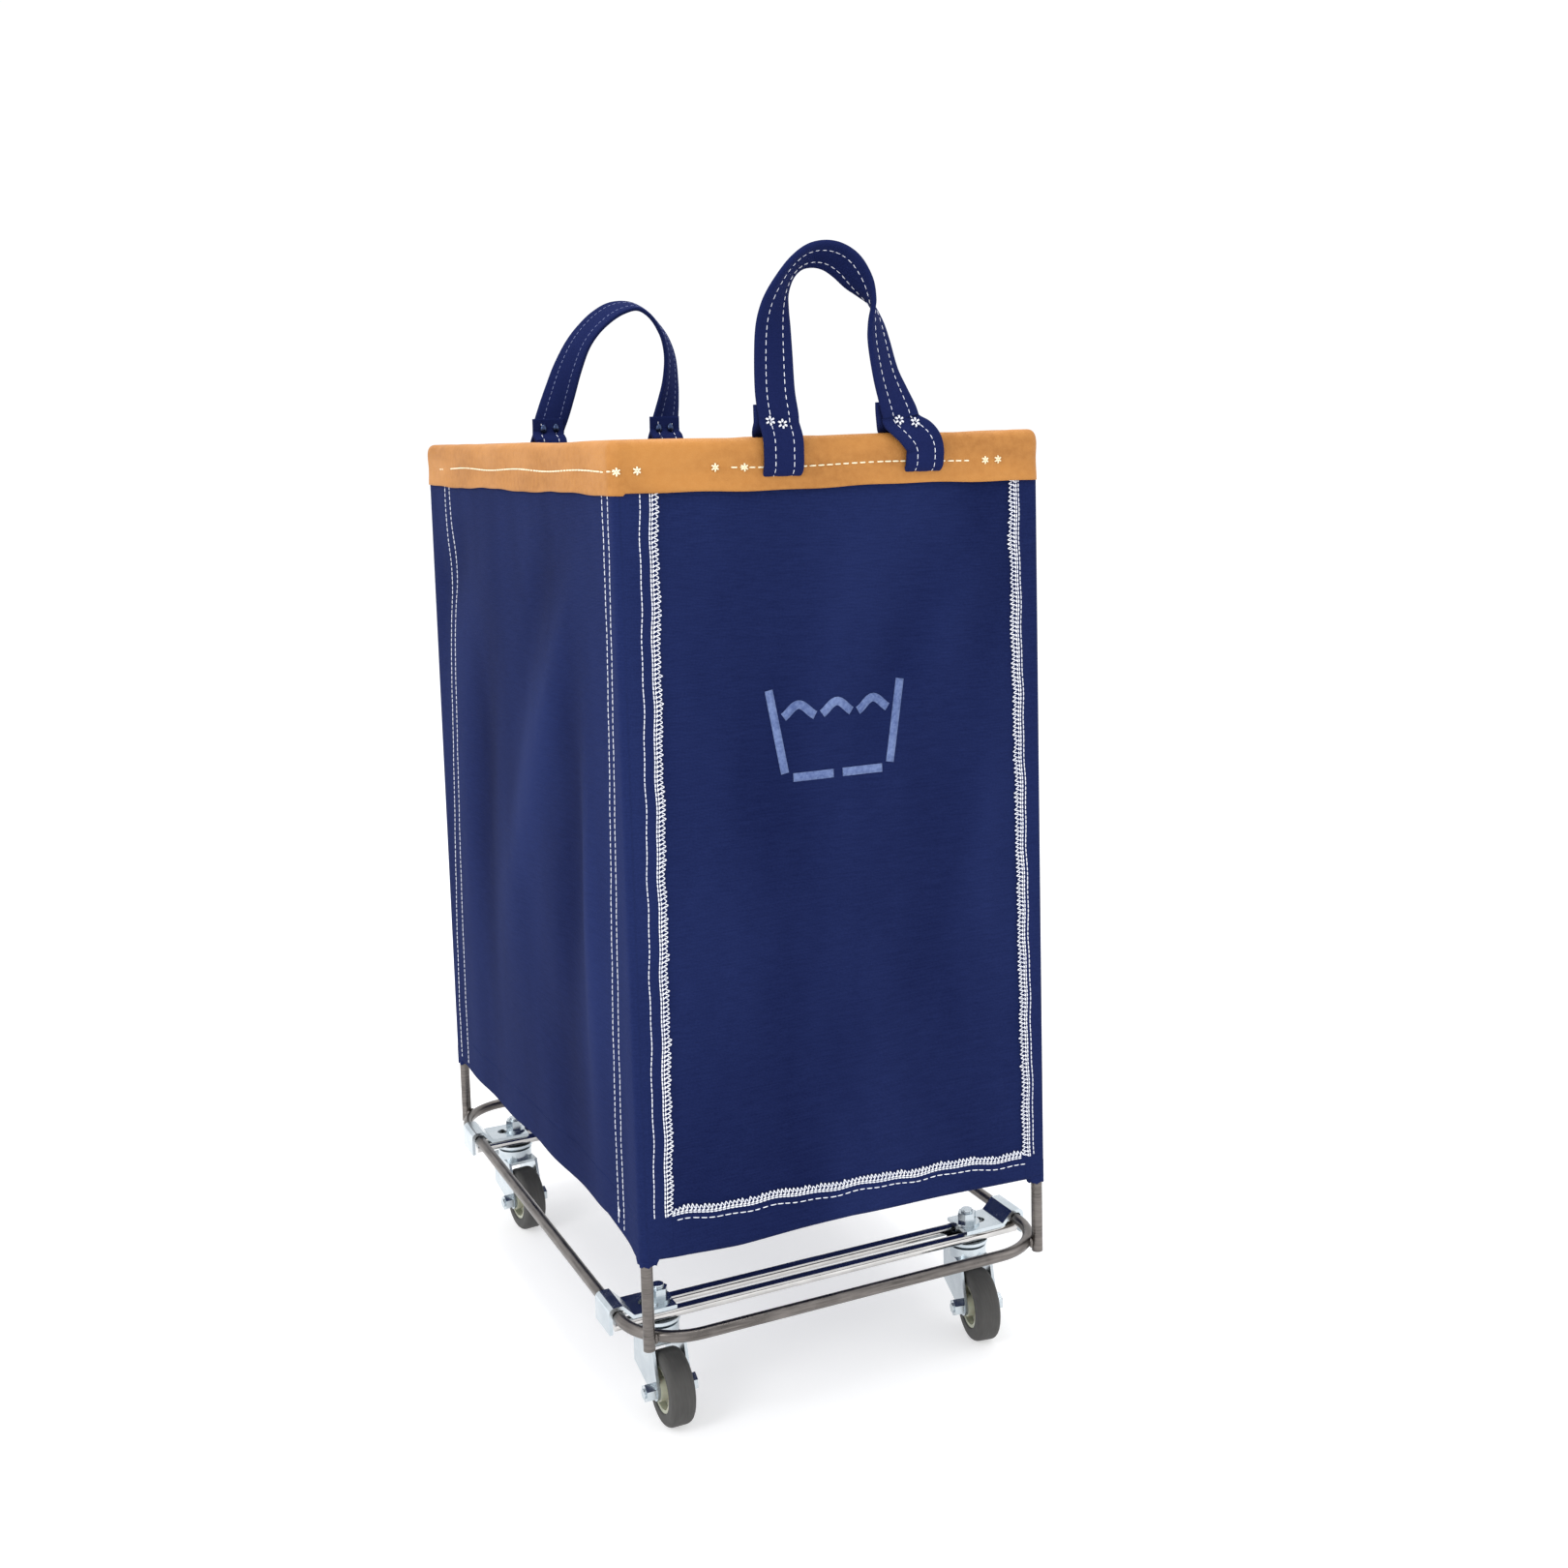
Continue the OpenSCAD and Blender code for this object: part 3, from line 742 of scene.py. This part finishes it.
def make_cuffs(canvas):
    """Sleeve ends: the canvas gathers round each upright just under the bag."""
    levels = [(0.0165, 0.0155), (0.0110, 0.0150), (0.0075, 0.0142), (0.0045, 0.0128),
              (0.0020, 0.0110), (0.0000, 0.0094), (-0.0018, 0.0085), (-0.0030, 0.0082)]
    profile = resample([(0, r, z) for z, r in levels], 20)
    sides = 40
    turns = np.arange(sides) * 2 * math.pi / sides
    cuffs = []
    for n, (name, sx, sy) in enumerate(CORNERS):
        top = hem(0, -POST_X if n in (0, 3) else POST_X) - 0.0015
        outward = np.array([[sx, 0], [0, sy]])
        rays = np.stack([np.cos(turns), np.sin(turns)], 1)
        limit = np.full(sides, 1.0)
        for normal in outward:
            facing = rays @ normal
            limit = np.minimum(limit, np.where(facing > 0.05, (WALL_OUT - 0.0004)
                                               / np.maximum(facing, 0.05), 1.0))
        both = (rays @ outward[0] > 0) & (rays @ outward[1] > 0)
        limit = np.where(both, WALL_OUT + 0.0002, limit)
        grid = np.zeros((len(profile), sides, 3))
        for r, (_, radius, dz) in enumerate(profile):
            gather = 1 + 0.035 * np.sin(turns * 7 + n) * smoothstep((0.016 - radius) / 0.01)
            reach = np.minimum(radius * gather, limit)
            ragged = 0.0009 * np.sin(turns * 5 + 2 * n) + 0.0005 * np.sin(turns * 13)
            grid[r, :, 0] = sx * POST_X + rays[:, 0] * reach
            grid[r, :, 1] = sy * POST_Y + rays[:, 1] * reach
            grid[r, :, 2] = top + dz + ragged * (r / len(profile)) ** 3
        piece = add_grid(f"sleeve_cuff_{name}", grid, turns * 0.007, grid[..., 2], canvas)
        add_thickness(piece, CANVAS_T)
        tidy = piece.modifiers.new("smooth", "SUBSURF")
        tidy.levels = tidy.render_levels = 1
        cuffs.append(piece)
    return cuffs


def overlock(line, normals, inward, width, seed):
    """Edge sewing: a needle line, then a ladder of slanted bars with loops over the edge."""
    draw = random.Random(seed)
    pitch = 0.0035
    run = run_length(line)
    at = np.arange(pitch / 2, run[-1] - pitch, pitch)

    def spot(shift, place, lift):
        base, up = at_run(at + shift, run, line), at_run(at + shift, run, normals)
        return base + inward * np.asarray(place).reshape(-1, 1) + up * lift

    up = at_run(at, run, normals)
    stray, lean = (np.array([draw.uniform(-1, 1) for _ in at]) for _ in range(2))
    edge = width * (1 + 0.10 * stray)
    foot = width * 0.30
    needle = (spot(-pitch * 0.50, 0.0, 0.0003), spot(pitch * 0.42, 0.0, 0.0003), up)
    chain = (spot(-pitch * 0.45, foot, 0.0004), spot(pitch * 0.40, foot + 0.0005, 0.0004), up)
    bars = (spot(-pitch * 0.2, foot, 0.0005), spot(pitch * 0.4 + 0.0005 * lean, edge, 0.0005), up)
    peak = edge + 0.0018 + 0.0008 * lean
    loops = (spot(pitch * 0.05, edge - 0.0012, 0.0002), spot(pitch * 0.45, peak, -0.0001), up)
    loops_back = (loops[1], spot(pitch * 0.95, edge - 0.0012, 0.0002), up)
    return [needle, chain], [bars, loops, loops_back]


def sew_bag(white):
    """All the white sewing on the four faces."""
    lock, lines, bars = [], [], []
    stations = 160
    for face in (0, 2):
        foot = 0.0052
        for side, inward in ((-1, 1.0), (1, -1.0)):
            corner = edge_left(0.195) if side < 0 else edge_right(0.18)
            z = np.linspace(edge_bottom(corner) - foot, RIM_FOOT + 0.004, stations)
            edge = edge_left(z) if side < 0 else edge_right(z)
            line, up = on_face(face, edge - inward * foot, z)
            direction = np.array([inward, 0, 0]) * (1 if face == 0 else -1)
            along, over = overlock(line, up, direction, foot, 11 + face + side)
            lines += along
            bars += over
            out = edge_left(z) - 0.0145 if side < 0 else edge_right(z) + 0.0090
            out = out - side * 0.0015 * rise(z)
            line, up = on_face(face, out, z)
            lock.append(stitch_row(line, up, 0.0040, 0.0037, 3 + face + side))
        x = np.linspace(edge_left(0.19), edge_right(0.18), stations)
        line, up = on_face(face, x, edge_bottom(x) - foot)
        along, over = overlock(line, up, np.array([0, 0, 1.0]), foot * 0.85, 31 + face)
        lines += along
        bars += over
        x = np.linspace(-0.155, 0.168, stations)
        line, up = on_face(face, x, edge_bottom(x) - foot - 0.0052 + 0.0006 * np.sin(x * 30))
        lock.append(stitch_row(line, up, 0.0066, 0.0054, 41 + face))
    for face in (1, 3):
        for low, high, seed in ((-0.2200, -0.2500, 1), (-0.2310, -0.2625, 2),
                                (0.2300, 0.1930, 3), (0.2540, 0.2100, 4)):
            z = np.linspace(hem(face, low) + 0.006, RIM_FOOT + 0.004, stations)
            a = low + (high - low) * smoothstep(rise(z) * 0.92) + wobble(z, 0.0006, seed)
            line, up = on_face(face, a, z)
            lock.append(stitch_row(line, up, 0.0048, 0.0042, 50 + seed + face))
    sew("bag_lock_stitches", lock, 0.00042, white, "frame")
    sew("bag_overlock_lines", lines, 0.00052, white, "frame")
    sew("bag_overlock_bars", bars, 0.00040, white, "frame")


def thread_ends(white):
    """Loose thread ends beside the lower side seams."""
    draw = random.Random(7)
    starts, ends, ups = [], [], []
    for face in (3, 1):
        base, up = on_face(face, -0.222, 0.185, 0.0004)
        for _ in range(5):
            away = np.array([0.0, draw.uniform(-1, 1), draw.uniform(-0.8, 0.8)])
            starts.append(base)
            ends.append(base + unit(away) * draw.uniform(0.004, 0.008) + up * 0.0012)
            ups.append(up)
    sew("thread_ends", [(np.array(starts), np.array(ends), np.array(ups))], 0.0003, white,
        "frame")


# Printed mark -----------------------------------------------------------------------------

def ribbon(points, width):
    """Flat outline strip on the front face along a line of (x, z) points."""
    line = np.array(points, float)
    run = np.gradient(line, axis=0)
    across = unit(np.stack([-run[:, 1], run[:, 0]], 1)) * width / 2
    rows = []
    for side in (-1, 0, 1):
        spot = line + across * side
        rows.append(on_face(0, spot[:, 0], spot[:, 1], -STEP + 0.00025)[0])
    return np.stack(rows, 0)


def make_print(ink):
    """A plain wash-tub mark: two sides, a floor and a wavy water line, with stencil gaps."""
    cx, cz = -0.004, 0.560
    strokes = []
    for side in (-1, 1):
        strokes.append([(cx + side * (0.058 - 0.012 * t), cz + 0.034 - 0.066 * t)
                        for t in np.linspace(0, 1, 16)])
    for low, high in ((-0.039, -0.004), (0.004, 0.039)):
        strokes.append([(cx + x, cz - 0.036) for x in np.linspace(low, high, 14)])
    for low, high in ((-0.046, -0.019), (-0.013, 0.013), (0.019, 0.046)):
        strokes.append([(cx + x, cz + 0.016 + 0.005 * math.cos(x * 2 * math.pi / 0.033))
                        for x in np.linspace(low, high, 14)])
    points, faces = [], []
    for stroke in strokes:
        grid = ribbon(stroke, 0.0068)
        shift = sum(len(p) for p in points)
        points.append(grid.reshape(-1, 3))
        faces += shifted(grid_faces(grid.shape[0], grid.shape[1]), shift)
    mark = add_piece("printed_mark", np.vstack(points), faces, ink, "frame")
    add_thickness(mark, 0.0003, 0.0)


# Rim binding ------------------------------------------------------------------------------

# Section of the binding: distance out from the uprights' line, on the straights and at the
# corners, and depth below the top, from the inner lower edge over the rod to the outer edge
RIM_SECTION = [(0.0026, -0.0062, 0.0398), (0.0029, -0.0063, 0.0350), (0.0031, -0.0063, 0.0290),
               (0.0022, -0.0063, 0.0235), (-0.0016, -0.0064, 0.0190), (-0.0054, -0.0064, 0.0140),
               (-0.0063, -0.0064, 0.0090), (-0.0058, -0.0058, 0.0048),
               (-0.0034, -0.0034, 0.0015), (0.0004, 0.0004, 0.0002), (0.0042, 0.0042, 0.0013),
               (0.0068, 0.0068, 0.0045), (0.0078, 0.0078, 0.0090), (0.0079, 0.0079, 0.0140),
               (0.0076, 0.0076, 0.0190), (0.0073, 0.0074, 0.0232), (0.0075, 0.0075, 0.0290),
               (0.0080, 0.0078, 0.0350), (0.0084, 0.0080, 0.0405)]
RIM_CORNER = 0.003
# How far the outer face stands out, and the depth of the row of stitches below the top
RIM_FACE = 0.0076
SEAM_DEPTH = 0.0232
STRAIGHT_SAMPLES = (76, 112)
CORNER_SAMPLES = 9


def rim_ring(out):
    """Rounded rectangle standing out from the uprights' line, with its normals and its
    distance from the nearest corner."""
    radius = RIM_CORNER + out + 0.009 * float(smoothstep(np.array((0.002 - out) / 0.007)))
    cx = POST_X + out - radius
    cy = POST_Y + out - radius
    points, normals, nearness = [], [], []
    for side in range(4):
        turn = math.pi / 2 * side
        rotate = np.array([[math.cos(turn), math.sin(turn)], [-math.sin(turn), math.cos(turn)]])
        half, depth = (cx, cy) if side % 2 == 0 else (cy, cx)
        t = np.linspace(-half, half, STRAIGHT_SAMPLES[side % 2])
        straight = np.stack([t, np.full(len(t), -depth - radius)], 1)
        angle = np.linspace(-math.pi / 2, 0, CORNER_SAMPLES + 2)[1:-1]
        bend = np.stack([half + radius * np.cos(angle), -depth + radius * np.sin(angle)], 1)
        points.append(np.vstack([straight, bend]) @ rotate)
        up = np.vstack([np.tile([0.0, -1.0], (len(t), 1)),
                        np.stack([np.cos(angle), np.sin(angle)], 1)])
        normals.append(up @ rotate)
        nearness.append(np.concatenate([half - np.abs(t), np.zeros(len(angle))]))
    return np.vstack(points), np.vstack(normals), np.concatenate(nearness)


def rim_wave(around, depth, outer, share):
    """Slow rises and falls of the leather along the rim: more at its lower edges, and none at
    the top of the corners, where the rod lies close beneath."""
    low = smoothstep((depth - 0.022) / 0.016)
    wave = 0.0008 * np.sin(around * 2 * math.pi / 0.211 + 1.0) + 0.0003 * np.sin(
        around * 2 * math.pi / 0.067 + (2.0 if outer else 4.0))
    top = 0.0005 * np.sin(around * 2 * math.pi / 0.19 + 0.7) - 0.0006
    return low * wave + (1 - low) * top * share


def make_binding(leather):
    keys = [(straight, depth, 0, corner) for straight, corner, depth in RIM_SECTION]
    straight, depth, _, corner = resample(keys, 44).T
    rings = []
    for k in range(len(depth)):
        points, normals, nearness = rim_ring(corner[k])
        around = run_length(np.vstack([points, points[:1]]))[:-1]
        share = smoothstep((nearness - 0.010) / 0.024)
        outer = k > len(depth) / 2
        swell = 0.0004 * np.sin(around * 2 * math.pi / 0.094 + (0.4 if outer else 2.0))
        swell = swell if outer else swell - 0.0007
        shift = (straight[k] - corner[k]) * share + swell * share
        points = points + normals * shift[:, None]
        z = RIM_TOP - depth[k] + rim_wave(around, depth[k], outer, share)
        rings.append(np.column_stack([points, z]))
    grid = np.stack(rings, 0)
    piece = add_grid("rim_leather", grid, around,
                     run_length(np.stack([straight, depth], 1))[:, None], leather)
    add_thickness(piece, 0.0014)
    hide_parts("rim_binding")


def rim_line(face, start, end, depth=SEAM_DEPTH):
    """Line on the leather's outer face between two places across a face."""
    a = np.linspace(start, end, 90)
    return on_plane(face, a, RIM_FACE, RIM_TOP - depth + 0.0008 * np.sin(a * 38 + face))


def corner_line():
    """Line on the leather round the front left corner, from the left face to the front."""
    radius = RIM_CORNER + RIM_FACE + 0.0002
    cx, cy = POST_X - RIM_CORNER, POST_Y - RIM_CORNER
    turns = np.linspace(math.pi, 1.5 * math.pi, 16)
    normals = np.stack([np.cos(turns), np.sin(turns), 0 * turns], 1)
    points = normals * radius + np.array([-cx, -cy, RIM_TOP - SEAM_DEPTH])
    return points, normals


def sew_rim(cream):
    rows, tacks = [], []
    for seed, face in enumerate((0, 2)):
        rows.append(stitch_row(*rim_line(face, -0.092, 0.124), 0.0072, 0.0056, 60 + seed))
        for x in (-0.103, -0.079, 0.132, 0.144, -0.165, -0.181):
            point, up = rim_line(face, x, x + 0.001)
            tacks.append(star(point[0] + up[0] * 0.0004, up[0], (1, 0, 0), 6, 0.0002, 0.0033))
    for seed, face in enumerate((3, 1)):
        rows.append(stitch_row(*rim_line(face, 0.181, -0.262), 0.0072, 0.0060, 70 + seed))
        rows.append(stitch_row(*rim_line(face, 0.220, 0.207), 0.0072, 0.0030, 80 + seed))
        points, up = corner_line()
        if face == 1:
            points, up = turned(points), turned(up)
        rows.append(stitch_row(points, up, 0.0058, 0.0048, 90 + seed))
    sew("rim_stitches", rows, 0.00068, cream, "frame")
    sew("rim_tacks", tacks, 0.00072, cream, "frame")


# Handles ----------------------------------------------------------------------------------

# Middle line of each handle above the rim: place across, height and twist in degrees
FRONT_LINE = [(-0.0475, 0.8040, 180), (-0.0500, 0.8220, 179), (-0.0505, 0.8480, 174),
              (-0.0500, 0.8700, 165), (-0.0475, 0.8860, 150), (-0.0420, 0.9010, 132),
              (-0.0335, 0.9140, 122), (-0.0225, 0.9225, 119), (-0.0100, 0.9252, 119),
              (0.0020, 0.9232, 119), (0.0130, 0.9165, 117), (0.0232, 0.9048, 104),
              (0.0305, 0.8945, 82), (0.0350, 0.8860, 63), (0.0378, 0.8720, 44),
              (0.0402, 0.8580, 35), (0.0457, 0.8340, 28), (0.0520, 0.8170, 18),
              (0.0572, 0.8040, 8)]
REAR_LINE = [(-0.0570, 0.8040, 4), (-0.0520, 0.8170, 14), (-0.0430, 0.8410, 34),
             (-0.0350, 0.8620, 46), (-0.0235, 0.8855, 58), (-0.0110, 0.9020, 63),
             (0.0040, 0.9155, 64), (0.0210, 0.9250, 67), (0.0400, 0.9275, 75),
             (0.0560, 0.9195, 73), (0.0680, 0.9050, 67), (0.0755, 0.8905, 59),
             (0.0795, 0.8720, 51), (0.0790, 0.8485, 42), (0.0760, 0.8280, 30),
             (0.0710, 0.8040, 12)]
# Strap's loop round the rim: distance out from the uprights' line and height, from the folded
# inner tail, down inside the bag, under the rod and up in front
LOOP_LINE = [(-0.0013, 0.8125), (-0.0012, 0.8060), (-0.0012, 0.7990), (-0.0036, 0.7945),
             (-0.0076, 0.7900), (-0.0094, 0.7830), (-0.0094, 0.7730), (-0.0078, 0.7640),
             (-0.0020, 0.7600), (0.0050, 0.7592), (0.0098, 0.7628), (0.0112, 0.7690),
             (0.0113, 0.7760), (0.0112, 0.7830), (0.0096, 0.7890), (0.0064, 0.7945),
             (0.0040, 0.7985)]
SECTION_HALF = 15
# Half sizes of a rivet's oval head inside the bag, and how high it stands
RIVET_WIDE, RIVET_TALL, RIVET_HIGH = 0.0034, 0.0050, 0.0022


def strap_path(line, left_x, right_x, side):
    """Points along the whole strap and the direction across it, from tail to tail."""
    def loop(base, mouth, twist):
        keys = []
        for out, z in LOOP_LINE:
            x = base + (mouth - base) * float(smoothstep(np.array((z - 0.776) / 0.026)))
            tail = 0.0022 if out < 0 and z > 0.79 else 0.0
            keys.append((x - tail, side * (POST_Y + out), z, 0.0, twist, 1.0))
        return keys

    left_twist = 180.0 if line[0][2] > 90 else 0.0
    keys = loop(left_x, line[0][0], left_twist)
    for x, z, twist in line:
        keys.append((x, side * (POST_Y + 0.0033), z, 0.0, twist, 0.0))
    keys += loop(right_x, line[-1][0], 0.0)[::-1]
    rows = resample(keys, 330)
    points, twist, in_loop = rows[:, :3], np.radians(rows[:, 4]), rows[:, 5]
    tangent = unit(np.gradient(points, axis=0))
    planar = unit(np.stack([tangent[:, 2], 0 * twist, -tangent[:, 0]], 1))
    front = np.tile([0.0, -1.0, 0.0], (len(points), 1))
    arch = planar * np.cos(twist)[:, None] + front * np.sin(twist)[:, None]
    first = -1.0 if left_twist else 1.0
    sign = np.where(np.arange(len(points)) < len(points) / 2, first, -1.0)
    flat = np.stack([sign, 0 * sign, 0 * sign], 1)
    share = smoothstep(in_loop)[:, None]
    inner = arch * (1 - share) + flat * share
    inner = unit(inner - tangent * np.sum(inner * tangent, axis=1, keepdims=True))
    return points, inner, np.cross(inner, tangent)


def strap_section():
    """Section of the folded strap: two plies, rounded edges, dimples along the sewing."""
    u = np.concatenate([[-1.0], -np.cos(np.linspace(0, math.pi, SECTION_HALF)) * 0.985, [1.0]])
    across = u * STRAP_W / 2
    dimple = 0.00042 * np.exp(-((np.abs(across) - ROW_IN) / 0.0014) ** 2)
    edge = np.sqrt(np.clip((1 - np.abs(u)) / 0.075, 0, 1))
    half = (STRAP_T / 2 - dimple) * (0.30 + 0.70 * edge)
    half[[0, -1]] = 0.0
    top = np.stack([across, half], 1)
    low = np.stack([across, -half], 1)[::-1][1:-1]
    return np.vstack([top, low])


def make_handle(name, line, left_x, right_x, side, canvas, threads, nodes):
    points, inner, normal = strap_path(line, left_x, right_x, side)
    section = strap_section()
    grid = (points[:, None] + inner[:, None] * section[None, :, :1]
            + normal[:, None] * section[None, :, 1:])
    count, columns = grid.shape[:2]
    run = run_length(points)
    cloth = np.zeros(grid.shape)
    cloth[..., 0] = section[None, :, 0]
    cloth[..., 1] = run[:, None]
    faces = grid_faces(count, columns, closed=True, flip=True)
    faces += [tuple(range(columns)), tuple(range((count - 1) * columns, count * columns))[::-1]]
    strap = add_piece(f"{name}_strap", grid.reshape(-1, 3), faces, canvas,
                      cloth=cloth.reshape(-1, 3))
    pieces = [strap]
    for face_side, thread, label in ((1, threads[0], "a"), (-1, threads[1], "b")):
        lift = face_side * (STRAP_T / 2 - 0.00030)
        rows = []
        for place in (-ROW_IN, ROW_IN):
            sewn = points + inner * place + normal * lift
            rows.append(stitch_row(sewn[2:-2], (normal * face_side)[2:-2], 0.0058, 0.0040,
                                   100 + int(place * 1e4)))
        pieces.append(sew(f"{name}_strap_stitches_{label}", rows, 0.00033, thread))
    for piece in pieces:
        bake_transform(piece)
    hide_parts(*nodes)
    return grid.reshape(-1, 3)


def strap_depth(strap, side, x, z):
    """Outermost and innermost Y of a strap near a place on its loop."""
    near = strap[np.hypot(strap[:, 0] - x, strap[:, 2] - z) < 0.0032]
    return (near[:, 1] * side).max() * side, (near[:, 1] * side).min() * side


def make_rivets(straps, white, dark):
    """Daisy rivets that close each strap loop: split petals outside, oval heads inside."""
    petals, domes = [], []
    spots = {-1: [(-0.0560, 0.8000), (-0.0465, 0.7975), (0.0545, 0.7985), (0.0675, 0.7965)],
             1: [(-0.0650, 0.8005), (-0.0515, 0.8012), (0.0610, 0.7985), (0.0740, 0.7990)]}
    for side, places in spots.items():
        for x, z in places:
            outer, inner = strap_depth(straps[side], side, x, z)
            up = np.array([0.0, side * 0.90, 0.30])
            face = np.array([x, outer + side * 0.0001, z])
            petals.append(star(face, up, (1, 0, 0), 6, 0.0014, 0.0040))
            domes.append((np.array([x, inner + side * 0.0004, z + 0.0012]), -side))
    # The petals take the white thread's colour as painted reflection of the white surroundings on
    # their nickel.
    sew("daisy_rivets", petals, 0.00080, white, "frame")
    points, faces = [], []
    rings, sides = 6, 18
    for centre, inward in domes:
        shift = len(points) * rings * sides
        cap = []
        for k in range(rings):
            height = math.cos(k / (rings - 1) * math.pi / 2)
            size = max(math.sin(k / (rings - 1) * math.pi / 2), 0.08)
            for a in np.arange(sides) * 2 * math.pi / sides:
                dome = (RIVET_WIDE * size * math.cos(a), inward * RIVET_HIGH * height,
                        RIVET_TALL * size * math.sin(a))
                cap.append(centre + np.array(dome))
        points.append(np.array(cap))
        faces += shifted(grid_faces(rings, sides, closed=True, flip=inward > 0), shift)
        faces.append(tuple(shift + v for v in range(sides)))
    add_piece("rivet_heads", np.vstack(points), faces, dark, "frame")


# Metal details ----------------------------------------------------------------------------

def make_welds(steel):
    """Weld beads where each upright is joined to the bend of the base loop."""
    rings, sides = 15, 10
    for name, sx, sy in CORNERS:
        post = np.array([sx * POST_X, sy * POST_Y])
        outward = unit(np.array([sx, sy], float))
        side_way = np.array([-outward[1], outward[0]])
        points, faces = [], []
        for n, hand in enumerate((-1, 1)):
            shift = n * rings * sides
            for k in range(rings):
                t = k / (rings - 1)
                size = 0.0021 * math.sqrt(max(1 - (2 * t - 1) ** 2, 0.02))
                size *= 1 + 0.12 * math.cos(k * 2.4)
                base = post - outward * (ROD_R * 0.93) + side_way * hand * (ROD_R * 0.80)
                z = LOOP_Z - 0.0045 + 0.0085 * t
                for a in np.arange(sides) * 2 * math.pi / sides:
                    spot = base + (outward * math.cos(a) + side_way * math.sin(a)) * size
                    points.append((spot[0], spot[1], z))
            faces += shifted(grid_faces(rings, sides, closed=True), shift)
            faces.append(tuple(shift + v for v in range(sides))[::-1])
            faces.append(tuple(shift + (rings - 1) * sides + v for v in range(sides)))
        add_piece(f"weld_{name}", points, faces, steel, "frame")


def helix(centre, axis, low, high, radius, pitch, depth):
    """Thread ridge wound on a rod, as rows of three points, and its faces."""
    axis = unit(np.array(axis, float))
    side = unit(np.cross(axis, [0.3, 0.2, 0.9]))
    other = np.cross(axis, side)
    turns = (high - low) / pitch
    count = int(turns * 18)
    points = []
    for k in range(count + 1):
        turn = 2 * math.pi * turns * k / count
        ray = side * math.cos(turn) + other * math.sin(turn)
        place = low + (high - low) * k / count
        for shift, reach in ((-0.42, 0.0), (0.0, depth), (0.42, 0.0)):
            points.append(centre + axis * (place + shift * pitch) + ray * (radius + reach))
    return np.array(points), grid_faces(count + 1, 3)


def make_threads(zinc):
    """Screw threads on the stems above their nuts."""
    for name, _, _ in CORNERS:
        low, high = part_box(f"stem_{name}")
        nut_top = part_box(f"stem_nut_{name}")[1].z
        centre = np.array([(low.x + high.x) / 2, (low.y + high.y) / 2, 0])
        points, faces = helix(centre, (0, 0, 1), nut_top - 0.0005, high.z - 0.0006,
                              0.00474, 0.0014, 0.0004)
        add_piece(f"stem_thread_{name}", points, faces, zinc, "frame")


def finish_metal(looks):
    """Gives each carried-over CAD node its finish, and eases the pressed parts' edges."""
    for name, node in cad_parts.items():
        for prefix, (mat, slot) in looks.items():
            if name.startswith(prefix):
                node.data.materials.clear()
                node.data.materials.append(mat)
        if name.startswith(("clamp_plate", "fork", "stem_nut", "axle")):
            edge = node.modifiers.new("eased_edges", "BEVEL")
            edge.width = 0.00035
            edge.segments = 2
            edge.limit_method = "ANGLE"
            edge.angle_limit = math.radians(50)


def main():
    make_camera()
    make_studio()
    canvas = canvas_material("navy_canvas", (0.0040, 0.0078, 0.0440), (0.0165, 0.0275, 0.1080),
                             0.0017)
    strap = canvas_material("navy_webbing", (0.0058, 0.0105, 0.0540), (0.0125, 0.0195, 0.0880),
                            0.0013)
    leather = leather_material()
    satin = steel_material("satin_rod", (0.165, 0.150, 0.140), 0.30, 0.45, (40, 40, 700))
    bright = steel_material("bright_rod", (0.60, 0.585, 0.57), 0.10, 0.2, (60, 900, 900))
    zinc = zinc_material()
    rubber = rubber_material()
    nylon = nylon_material()
    white = thread_material("white_thread", (0.74, 0.77, 0.88), (0.97, 0.98, 1.0))
    # White thread darkened towards navy: painted shade for stitches on the rear strap's inner
    # face.
    thread_painted_shade = thread_material("white_thread_painted_shade", (0.10, 0.13, 0.28), (0.24, 0.28, 0.48))
    cream = thread_material("cream_thread", (0.80, 0.68, 0.42), (1.0, 0.94, 0.74))
    ink = ink_material()
    # Rivet heads: the dark blue base colour is painted reflection of the navy canvas on their
    # metal.
    dark = steel_material("rivet_painted_navy_reflection", (0.045, 0.065, 0.130), 0.30, 0.3, (300, 300, 300))
    bag = make_bag(canvas)
    make_sleeves(canvas) + make_cuffs(canvas)
    sew_bag(white)
    thread_ends(white)
    make_print(ink)
    make_binding(leather)
    sew_rim(cream)
    front = make_handle("front", FRONT_LINE, -0.0475, 0.0750, -1, strap, (white, white),
                        ["handle_front", "strap_end_front_left", "strap_end_front_right"])
    # The rear strap's inner-face stitches use the thread with painted shade.
    rear = make_handle("rear", REAR_LINE, -0.0600, 0.0695, 1, strap, (thread_painted_shade, white),
                       ["handle_rear", "strap_end_rear_left", "strap_end_rear_right"])
    make_rivets({-1: front, 1: rear}, white, dark)
    make_welds(satin)
    make_threads(zinc)
    finish_metal({"base_loop": (satin, "frame_steel"), "rim_rod": (satin, "frame_steel"),
                  "upright": (satin, "frame_steel"), "cross_rod": (bright, "frame_steel"),
                  "clamp_plate": (zinc, "zinc_plate"), "stem": (zinc, "zinc_plate"),
                  "fork": (zinc, "zinc_plate"), "axle": (zinc, "zinc_plate"),
                  "hub": (nylon, "hub_nylon"), "tyre": (rubber, "tyre_rubber")})


main()
